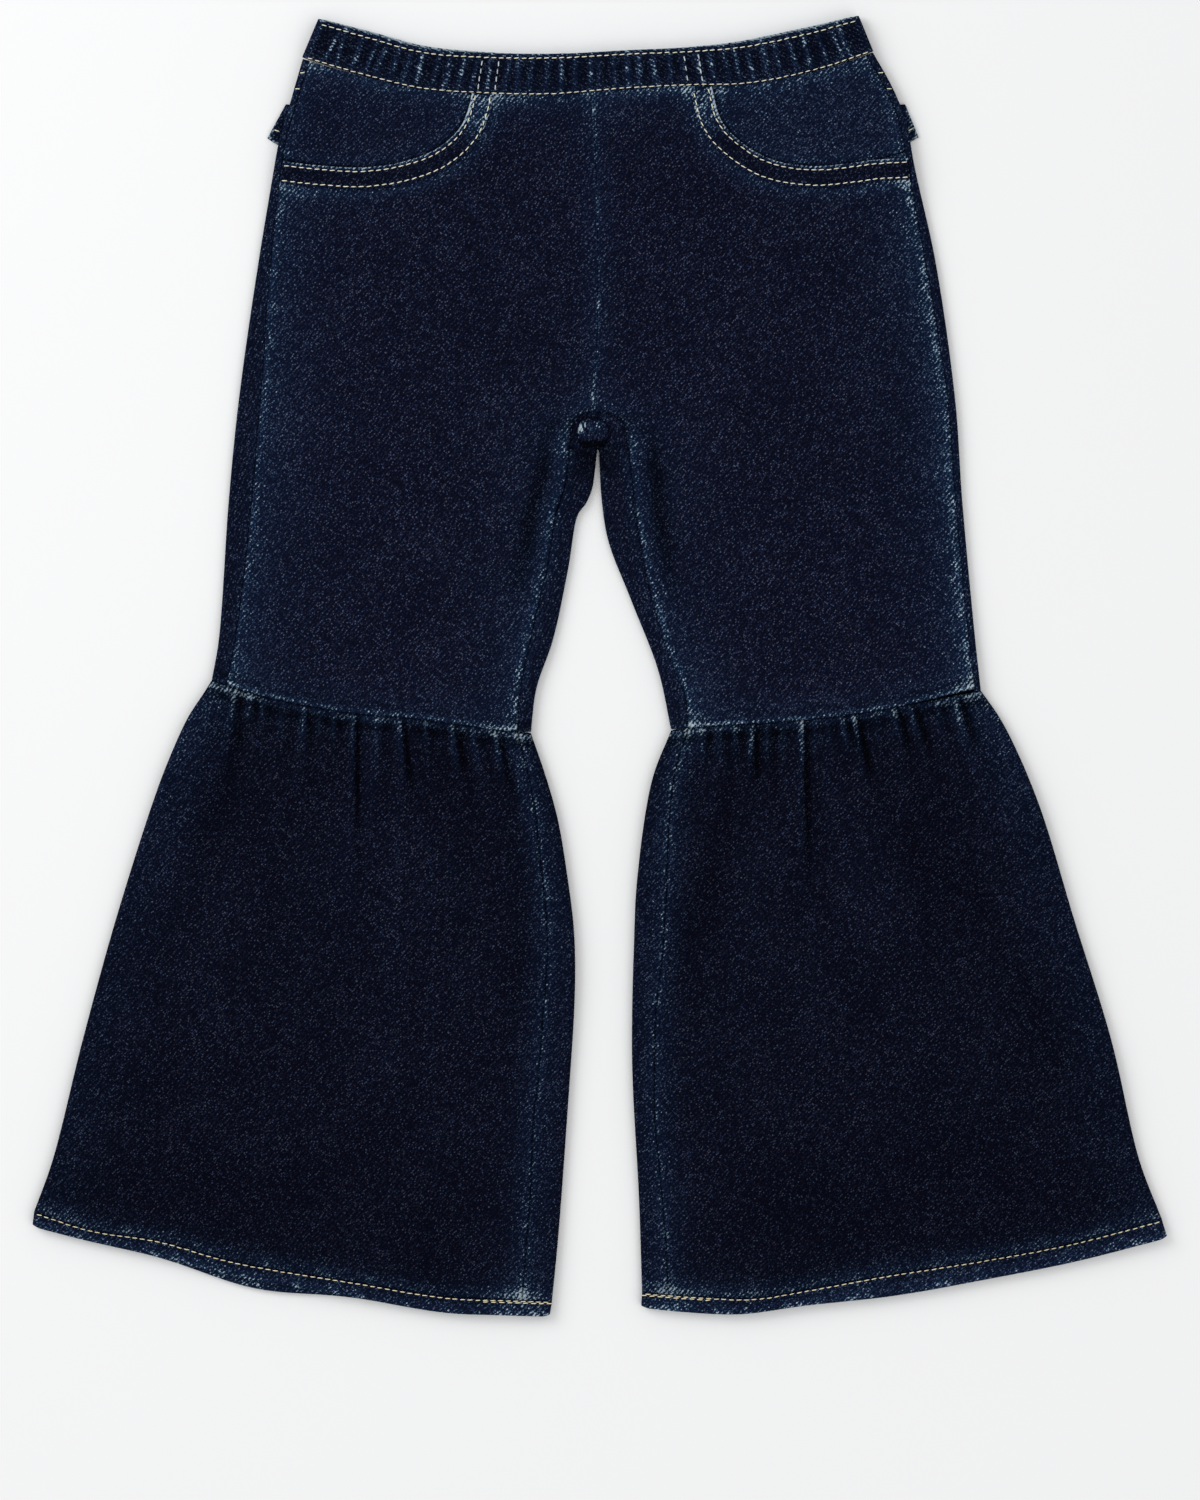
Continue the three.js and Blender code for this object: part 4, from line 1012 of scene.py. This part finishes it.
def flare(cut):
    side = cut["side"]
    knee_line = [(x, y + KNEE_TUCK) for x, y in cut["knee"][1:-1]]
    side_fold = curve([cut["knee"][0], *cut["flare_side_fold"][1:]])
    leg_fold = curve([cut["knee"][-1], *cut["flare_leg_fold"][1:]])
    knee = curve([cut["knee"][0], *knee_line, cut["knee"][-1]])
    hem_line = curve(cut["hem_seam"])
    plan = patch(side_fold, leg_fold, knee, hem_line)
    length = np.linalg.norm(side_fold(0.0) - side_fold(1.0))
    width_at = lambda share: np.linalg.norm(side_fold(share) - leg_fold(share), axis=-1)
    steps = [np.linspace(0, 1, 96) ** 1.35, EDGE_STEPS / length, 1 - EDGE_STEPS / length]
    share = np.unique(np.concatenate(steps))[:, None]
    down = share * length
    width = width_at(share)
    thickness = along(FLARE_THICKNESS, share)
    seam_at = width - along(cut["seam_from_leg_fold"], share)
    tube = flare_section(thickness, width, seam_at)
    a, _, na, nz = tube
    outer, inner = walls(plan, width, share, tube, CLOTH)
    xy = outer[..., :2].copy()
    x, y = xy[..., 0], xy[..., 1]
    front = nz > 0.5
    to = {"knee": near(xy, knee)[0], "hem": near(xy, hem_line)[0], "seam": np.abs(a - seam_at)}
    lift, crest, dark = flare_gathers(cut, a, share, length, side_fold, width_at)
    lift += 0.3 * waves(x + 2.5 * uneven(x, y, 9, 31), 4.1) * bell(down, 7.0)
    trough, trough_painted_shade = flare_troughs(side, xy)
    relief = flare_relief(x, y, down, to, lift, trough)
    relief = np.maximum(relief, -0.5 * (thickness - 2 * CLOTH))
    moved = relief * np.clip(nz, 0, 1) + BACK_GATHER_SHARE * np.maximum(lift, 0) * np.clip(-nz, 0, 1)
    rolled = np.maximum(rounded(np.minimum(to["knee"], to["hem"])), rounded(to["seam"], SEAM_ROLL))
    outer[..., 2] = np.maximum(outer[..., 2] + moved - np.where(front, rolled, 0), 0)
    inner[..., 2] += moved
    wear, shade = flare_fades(x, y, a, width, down, front, na, to, crest, dark, trough_painted_shade)
    obj = shell(f"flare_{side}_cloth", outer, inner, wear, shade)
    declare(obj, f"flare_{side}", "flare")


# Rings: hems and the waistband

def ring_section(width, thickness, wall, u, turn_count):
    """A closed flattened tube, from its top round the right fold, its underside and the left fold."""
    radius = thickness / 2
    middle = (thickness - wall) / 2
    right = np.linspace(90, -90, turn_count + 2)[1:-1]
    left = np.linspace(270, 90, turn_count + 2)[1:-1]
    return section([
        (radius + (width - 2 * radius) * u, thickness - wall / 2, 0, 1),
        turn(width - radius, radius, middle, right),
        (radius + (width - 2 * radius) * (1 - u), wall / 2, 0, -1),
        turn(np.full_like(width, radius), radius, middle, left),
    ])


def cut_corner(from_end, radius):
    """How far a rounded corner draws in its edge at a distance from the end."""
    return radius * (1 - np.sqrt(1 - np.clip(1 - from_end / radius, 0, 1) ** 2))


def hem_stitches(plan, obj):
    """A stitch row all round the hem, and the short row over it where the two ends meet."""
    whole = np.linspace(0.004, 0.996, 260)
    row = plan(whole, np.full(len(whole), HEM_STITCH / HEM_HEIGHT))
    meeting = np.linspace(0.86, 0.996, 50)
    second = plan(meeting, np.full(len(meeting), (HEM_STITCH + 0.55) / HEM_HEIGHT))
    PATHS["hems"].append({"line": row, "over": obj, "under": False})
    PATHS["hems"].append({"line": row, "over": obj, "under": True})
    PATHS["hems"].append({"line": second, "over": obj, "shift": 0.5})


def hem(cut):
    side = cut["side"]
    seam = [(x, y - 0.1) for x, y in cut["hem_seam"]]
    edge = cut["hem_edge"]
    start, end = curve([seam[0], edge[0]]), curve([seam[-1], edge[-1]])
    plan = patch(start, end, curve(seam), curve(edge))
    share = stations(HEM_HEIGHT, 0.7)[:, None]
    d = share * HEM_HEIGHT
    width = np.linalg.norm(start(share) - end(share), axis=-1)
    tube = ring_section(width, FLARE_THICKNESS[-1], HEM_WALL, np.linspace(0, 1, 230), 7)
    a, _, _, nz = tube
    from_peek = plan(a / width, share)[..., 0] - HEM_PEEK["x"]
    peek = HEM_PEEK["drop"][side] * bell(from_peek, HEM_PEEK["reach"]) * (0.5 - 0.5 * nz)
    rise = share ** 2 * (cut_corner(np.minimum(a, width - a), HEM_CORNER) - peek)
    shift = np.stack([np.zeros(a.shape), rise], -1)
    outer, inner = walls(plan, width, share, tube, HEM_WALL, shift)
    x, y = outer[..., 0].copy(), outer[..., 1].copy()
    up, down = np.clip(nz, 0, 1), np.clip(-nz, 0, 1)
    wave = 0.45 * uneven(x, y * 0.2, 34, 33)
    roping = waves(x + 1.1 * y, 4.6, 2 * uneven(x, y, 10, 41))
    rolled = rounded(np.minimum(d, HEM_HEIGHT - d), 1.1)
    sunk = 0.25 * bell(d - HEM_STITCH, 0.5)
    outer[..., 2] += up * (wave + 0.16 * roping * np.sin(math.pi * share) - rolled - sunk)
    outer[..., 2] = np.maximum(outer[..., 2] + down * (rolled + 0.1), 0)
    inner[..., 2] += up * wave
    patchy = patches(x, y, 4, 42)
    wear = 0.18 + 0.32 * (0.5 + 0.5 * roping) * patchy + 0.32 * bell(d - 5.6, 1.2) * patchy
    wear += 0.17 * bell(np.abs(width - a - 11), 11)
    # Painted shade in a narrow band just below the hem's stitch row
    obj = shell(f"hem_{side}_cloth", outer, inner, wear, 0.5 * bell(d - 1.6, 0.8), ring=True)
    declare(obj, f"hem_{side}", "hem")
    hem_stitches(plan, obj)


def band_gathers(along_band, width, share, nz):
    """Ridges at uneven steps on both layers, each leaning a little and fading towards the stitch rows."""
    rng = np.random.default_rng(8)
    d = share * BAND_HEIGHT
    crest = np.zeros(along_band.shape)
    for layer in (1, -1):
        places = (np.arange(BAND_GATHERS) + 0.5 + rng.uniform(-0.28, 0.28, BAND_GATHERS)) / BAND_GATHERS
        lean = rng.uniform(-0.2, 0.5, BAND_GATHERS) * np.where(places < 0.5, 1, -0.4)
        height = rng.uniform(0.55, 1.0, BAND_GATHERS)
        wide = rng.uniform(0.85, 1.35, BAND_GATHERS)
        middle = rng.uniform(0.35, 0.65, BAND_GATHERS)
        reach = rng.uniform(0.42, 0.8, BAND_GATHERS)
        on = np.clip(layer * nz, 0, 1)
        for k in range(BAND_GATHERS):
            across = (along_band - places[k]) * width + 0.35 * lean[k] * (d - BAND_HEIGHT / 2)
            tallness = 0.35 + 0.65 * bell(share - middle[k], reach[k])
            crest += on * height[k] * bell(across, wide[k]) * tallness
    return crest


def band_stitches(plan, obj):
    """Two rows all round, and the short upright rows of the pocket seams."""
    whole = np.linspace(0.008, 0.992, 320)
    for offset in BAND_ROWS:
        row = plan(whole, np.full(len(whole), offset / BAND_HEIGHT))
        PATHS["waistband"].append({"line": row, "over": obj})
        PATHS["waistband"].append({"line": row, "over": obj, "under": True})
    upright = np.linspace(BAND_ROWS[0] + 0.8, BAND_ROWS[1] - 0.6, 20) / BAND_HEIGHT
    for x_line in BAND_VERTICALS:
        u = (x_line - WAIST_SEAM[0][0]) / (WAIST_SEAM[-1][0] - WAIST_SEAM[0][0])
        PATHS["pale"].append({"line": plan(np.full(len(upright), u), upright), "over": obj})


def waistband():
    start, end = curve([WAIST_TOP[0], WAIST_SEAM[0]]), curve([WAIST_TOP[-1], WAIST_SEAM[-1]])
    plan = patch(start, end, curve(WAIST_TOP), curve(WAIST_SEAM))
    share = stations(BAND_HEIGHT, 0.75)[:, None]
    d = share * BAND_HEIGHT
    width = np.linalg.norm(start(share) - end(share), axis=-1)
    tube = ring_section(width, BAND_THICKNESS, BAND_WALL, np.linspace(0, 1, 430), 9)
    a, z, _, nz = tube
    plan_x = plan(a / width, share)[..., 0]
    risen = sum(bell(plan_x - x_peek, reach) for x_peek, reach in BACK_BAND_PEEKS)
    back_rise = BACK_BAND_RISE * (0.2 + 0.9 * risen) * (1 - share) * (1 - z / BAND_THICKNESS)
    corner = cut_corner(np.minimum(a, width - a), BAND_CORNER) * (1 - share) ** 3
    shift = np.stack([np.zeros(a.shape), back_rise - corner], -1)
    outer, inner = walls(plan, width, share, tube, BAND_WALL, shift)
    x, y = outer[..., 0], outer[..., 1]
    crest = band_gathers(a / width, width, share, nz)
    held = np.clip(bell(d - BAND_ROWS[0], 0.8) + bell(d - BAND_ROWS[1], 0.7), 0, 1)
    crown = np.sin(math.pi * np.clip(share, 0, 1)) ** 0.6
    rolled = np.maximum(rounded(d, 1.25), rounded(BAND_HEIGHT - d, 0.7))
    relief = 1.25 * crest * (1 - 0.55 * held) - 0.45 * held * (1 - 0.5 * crest)
    patchy, spots = patches(x, y, 3.2, 52), smoothstep(uneven(x, y, 2.2, 53), -0.6, 0.5)
    wear = 0.86 * crest ** 1.2 * (0.35 + 0.65 * spots) * (0.6 + 0.4 * patchy) * (1 - 0.5 * held) + 0.14
    wear += 0.42 * bell(d, 1.1) * (0.5 + 0.5 * patchy) + 0.15 * bell(d - BAND_HEIGHT, 1.0)
    wear += np.where(nz < 0.2, 0.95 * bell(d, 2.0), 0)
    # Painted shade between the gathers, most at the middle of the band's height
    shade = 0.7 * (1 - np.clip(1.5 * crest, 0, 1)) * crown
    outer[..., 2] += np.clip(nz, 0, 1) * (-0.55 + 0.25 * crown + relief - rolled)
    outer[..., 2] += np.clip(-nz, 0, 1) * (0.5 - 0.5 * np.clip(crest, 0, 1) + rolled)
    outer[..., 2] = np.maximum(outer[..., 2], 0)
    obj = shell("waistband_cloth", outer, inner, wear, shade, ring=True)
    declare(obj, "waistband", "band")
    band_stitches(plan, obj)


# Frill and crotch

def frill_stitches(top, bottom, obj):
    """A row along the hidden side, and its few stitches that show on the two ends."""
    row = lambda u: (1 - FRILL_STITCH) * top(u) + FRILL_STITCH * bottom(u)
    ends = np.linspace(0.0, 0.045, 12)
    PATHS["frill"].append({"line": row(np.linspace(0, 1, 260)), "over": obj, "under": True})
    PATHS["frill"].append({"line": row(ends), "over": obj})
    PATHS["frill"].append({"line": row(1 - ends), "over": obj})


def back_frill():
    top, bottom = curve(FRILL_TOP), curve(FRILL_BOTTOM)
    left_end, right_end = FRILL_BOTTOM[0][0], FRILL_BOTTOM[-1][0]
    u = np.linspace(0, 1, 260)[None, :]
    t = stations(FRILL_HEIGHT, 1.2)[:, None]
    d = t * FRILL_HEIGHT
    xy = (1 - t)[..., None] * top(u) + t[..., None] * bottom(u)
    x, y = xy[..., 0], xy[..., 1]
    pleat = 0.5 + 0.5 * waves(x, 8.5, 2 * uneven(x, np.broadcast_to(d, x.shape), 20, 61))
    ends = 1 - smoothstep(np.minimum(x - left_end, right_end - x), 2, 8)
    from_edge = np.minimum(d, FRILL_HEIGHT - d)
    from_ends = 0.8 * np.minimum(x - left_end + 1.5, right_end + 1.6 - x)
    edge = np.minimum(from_edge, from_ends)
    z_top = 1.15 + 0.35 * ends * np.sin(math.pi * t) - rounded(np.clip(edge, 0, 9), 0.6)
    z_low = 0.42 * pleat * (1 - ends)
    patchy = patches(x, y, 3, 62)
    rim = bell(np.minimum(from_edge, np.minimum(u, 1 - u) * FRILL_LENGTH), 1.3)
    wear = 0.14 + (0.3 * bell(d - FRILL_HEIGHT, 1.5) + 0.2 * pleat) * patchy + (0.12 + 0.5 * rim) * ends
    # Painted shade between the pleats
    obj = shell("back_frill_cloth", lift_of(xy, z_top), lift_of(xy, z_low), wear, 0.5 * (1 - pleat))
    declare(obj, "back_frill", "hem")
    frill_stitches(top, bottom, obj)


def crotch_face(t, angle, inset, creased):
    """One side of the rolled lump of seams, a half tube along Y that is thinner at both ends."""
    half_width = along(CROTCH["half_widths"], t)
    height = along(CROTCH["heights"], t) * (1 - 0.55 * np.abs(2 * t - 1) ** 5)
    x = CROTCH["x"] + (half_width - inset) * np.cos(angle) + 0.7 * np.sin(math.pi * t)
    y = np.broadcast_to(CROTCH["top"] + (CROTCH["bottom"] - CROTCH["top"]) * t, x.shape)
    rise = height - inset
    if creased:
        rise = rise - 0.45 * bell(x - CROTCH["seam_x"], 0.6) + 0.2 * waves(x + 0.4 * y, 3.1)
    return np.stack([x, y, CLOTH + 0.3 + rise * np.sin(angle)], -1)


def crotch_roll():
    t = np.linspace(0, 1, 56)[:, None]
    angle = np.linspace(math.pi, 0, 64)[None, :]
    outer = crotch_face(t, angle, 0, True)
    x, y = outer[..., 0], outer[..., 1]
    patchy = patches(x, y, 1.6, 71)
    # lit marks the lit upper part of the lump; its wear there is seam wear and painted highlight together
    lit = bell(t - 0.34, 0.27)
    strokes = smoothstep(uneven(x + 0.35 * y, 0.3 * y, 0.9, 72), -0.3, 0.4)
    wear = lit * (0.16 + 0.8 * strokes * (1 - smoothstep(x, -6.0, -2.5)) + 0.4 * patchy * strokes)
    # Painted shade: at the lump's lower end, along its top rim, beside its seam on the lit part, and at its
    # sides
    shade = 1.1 * smoothstep(t, 0.62, 0.8) + 0.9 * bell(t, 0.09)
    shade = shade + 0.8 * bell(x - CROTCH["seam_x"], 0.5) * lit + 0.5 * bell(np.abs(np.cos(angle)) - 1, 0.12)
    obj = shell("crotch_roll_cloth", outer, crotch_face(t, angle, 0.8, False), wear, shade)
    declare(obj, "crotch_roll", "back")


# Stitches

def stitch_template(rings=7, sides=6):
    """One stitch along +x, from -1/2 to 1/2: a plump thread whose ends dive into the cloth."""
    t = np.linspace(-0.5, 0.5, rings)
    plump = np.sqrt(np.clip(1 - (2 * t) ** 4, 0.08, 1))
    rise = 0.55 - 0.95 * (2 * t) ** 4
    angle = np.linspace(0, 2 * math.pi, sides, endpoint=False)
    ring = np.stack([
        np.repeat(t, sides), np.outer(plump, np.cos(angle)).ravel(),
        (rise[:, None] + np.outer(plump, np.sin(angle))).ravel(),
    ], -1)
    points = np.vstack([ring, [[-0.52, 0, rise[0]], [0.52, 0, rise[-1]]]])
    triangles = []
    for i in range(rings - 1):
        for j in range(sides):
            a, b = i * sides + j, i * sides + (j + 1) % sides
            triangles += [(a, a + sides, b), (b, a + sides, b + sides)]
    first, last = rings * sides, rings * sides + 1
    for j in range(sides):
        k = (j + 1) % sides
        triangles += [(first, j, k), (last, (rings - 1) * sides + k, (rings - 1) * sides + j)]
    return points, np.array(triangles)


def height_at(tree, x, y, under):
    """How high the cloth is at a plan point, seen from above or from below, or none off the cloth."""
    origin = Vector((x * MM, y * MM, -0.01 if under else 0.02))
    hit = tree.ray_cast(origin, Vector((0, 0, 1 if under else -1)))[0]
    return hit.z / MM if hit else None


def laid_stitch(template, ends, length, thick, under, rng):
    """A stitch over three points of the cloth, turned a little off its row."""
    (x0, y0, z0), (x, y, z), (x1, y1, z1) = ends
    way = math.atan2(y1 - y0, x1 - x0) + rng.normal(0.07, 0.04)
    t = template[:, 0]
    forward = t * length
    aside = template[:, 1] * thick + rng.normal(0, 0.04)
    surface = z + (z1 - z0) * t + (0.5 * (z0 + z1) - z) * (2 * t) ** 2
    height = surface + (-1 if under else 1) * template[:, 2] * thick * 0.85
    if under:
        height = np.maximum(height, 0.02)
    return np.stack([
        x + forward * math.cos(way) - aside * math.sin(way),
        y + forward * math.sin(way) + aside * math.cos(way), height], -1)


def stitch_rows(name, paths, material, thick=STITCH_RADIUS, seed=1):
    """Real stitches along plan lines, laid on the cloth under them."""
    rng = np.random.default_rng(seed)
    template, triangles = stitch_template()
    points, faces = [], []
    for path in paths:
        line, under = np.asarray(path["line"], float), path.get("under", False)
        tree = BVHTree.FromObject(path["over"], bpy.context.evaluated_depsgraph_get())
        run = np.concatenate([[0], np.cumsum(np.linalg.norm(np.diff(line, axis=0), axis=1))])
        count = max(int(run[-1] // STITCH_PITCH), 1)
        for k in range(count):
            middle = (k + 0.5 + path.get("shift", 0.0)) * run[-1] / count + rng.normal(0, 0.05)
            length = STITCH_LENGTH * rng.uniform(0.93, 1.05)
            ends = []
            for s in (middle - length / 2, middle, middle + length / 2):
                x, y = np.interp(s, run, line[:, 0]), np.interp(s, run, line[:, 1])
                ends.append((x, y, height_at(tree, x, y, under)))
            if any(z is None for _, _, z in ends):
                continue
            faces.append((triangles[:, ::-1] if under else triangles) + len(template) * len(points))
            points.append(laid_stitch(template, ends, length, thick, under, rng))
    obj = new_mesh(name, np.vstack(points) * MM, np.vstack(faces))
    obj.data.materials.append(material)
    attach(obj, "root")


for cut in (LEFT, RIGHT):
    back_panel(cut)
    front_panel(cut)
    hip(cut)
    pocket_edge(cut)
    flare(cut)
    hem(cut)
waistband()
back_frill()
crotch_roll()
stitch_rows("stitches_waistband", PATHS["waistband"], THREAD, seed=2)
stitch_rows("stitches_pockets", PATHS["pockets"], THREAD, seed=3)
stitch_rows("stitches_hems", PATHS["hems"], GOLD_THREAD, seed=4)
stitch_rows("stitches_yoke", PATHS["yoke"], THREAD, seed=7)
stitch_rows("stitches_frill", PATHS["frill"], THREAD, seed=5)
stitch_rows("stitches_band_seams", PATHS["pale"], PALE_THREAD, thick=0.24, seed=6)


# Floor, light and camera

FIELD_HEIGHT = 0.600
PHOTO_CENTRE = (0.0, -0.0336)
CAMERA_HEIGHT = 2.6
SENSOR_HEIGHT = 24.0


def plain(name, colour, roughness):
    material = bpy.data.materials.new(name)
    material.use_nodes = True
    shader = material.node_tree.nodes["Principled BSDF"]
    shader.inputs["Base Color"].default_value = (*colour, 1)
    shader.inputs["Roughness"].default_value = roughness
    shader.inputs["Specular IOR Level"].default_value = 0.1
    return material


def floor():
    size = 6.0
    points = np.array([(-size, -size, 0), (size, -size, 0), (size, size, 0), (-size, size, 0)], float)
    points[:, 2] = -0.0001
    obj = new_mesh("floor", points, np.array([[0, 1, 2, 3]]))
    obj.data.materials.append(plain("floor_white", (0.82, 0.825, 0.83), 0.9))


def area_light(name, place, size, power, aim=(0, 0, 0)):
    light = bpy.data.lights.new(name, "AREA")
    light.shape = "SQUARE"
    light.size = size
    light.energy = power
    obj = bpy.data.objects.new(name, light)
    obj.location = place
    obj.rotation_euler = (Vector(aim) - Vector(place)).to_track_quat("-Z", "Y").to_euler()
    bpy.context.scene.collection.objects.link(obj)


def camera():
    data = bpy.data.cameras.new("photo_camera")
    data.sensor_fit = "VERTICAL"
    data.sensor_height = SENSOR_HEIGHT
    data.lens = SENSOR_HEIGHT * CAMERA_HEIGHT / FIELD_HEIGHT
    obj = bpy.data.objects.new("photo_camera", data)
    obj.location = (*PHOTO_CENTRE, CAMERA_HEIGHT)
    bpy.context.scene.collection.objects.link(obj)
    bpy.context.scene.camera = obj


def world():
    sky = bpy.data.worlds.new("studio")
    bpy.context.scene.world = sky
    sky.use_nodes = True
    background = sky.node_tree.nodes["Background"]
    background.inputs["Color"].default_value = (1, 1, 1, 1)
    background.inputs["Strength"].default_value = 0.705


floor()
world()
area_light("key", (-1.5, 0.9, 1.25), 1.3, 23.5)
area_light("fill", (1.2, -1.0, 1.8), 1.6, 11.5)
camera()
bpy.context.scene.view_settings.view_transform = "Standard"
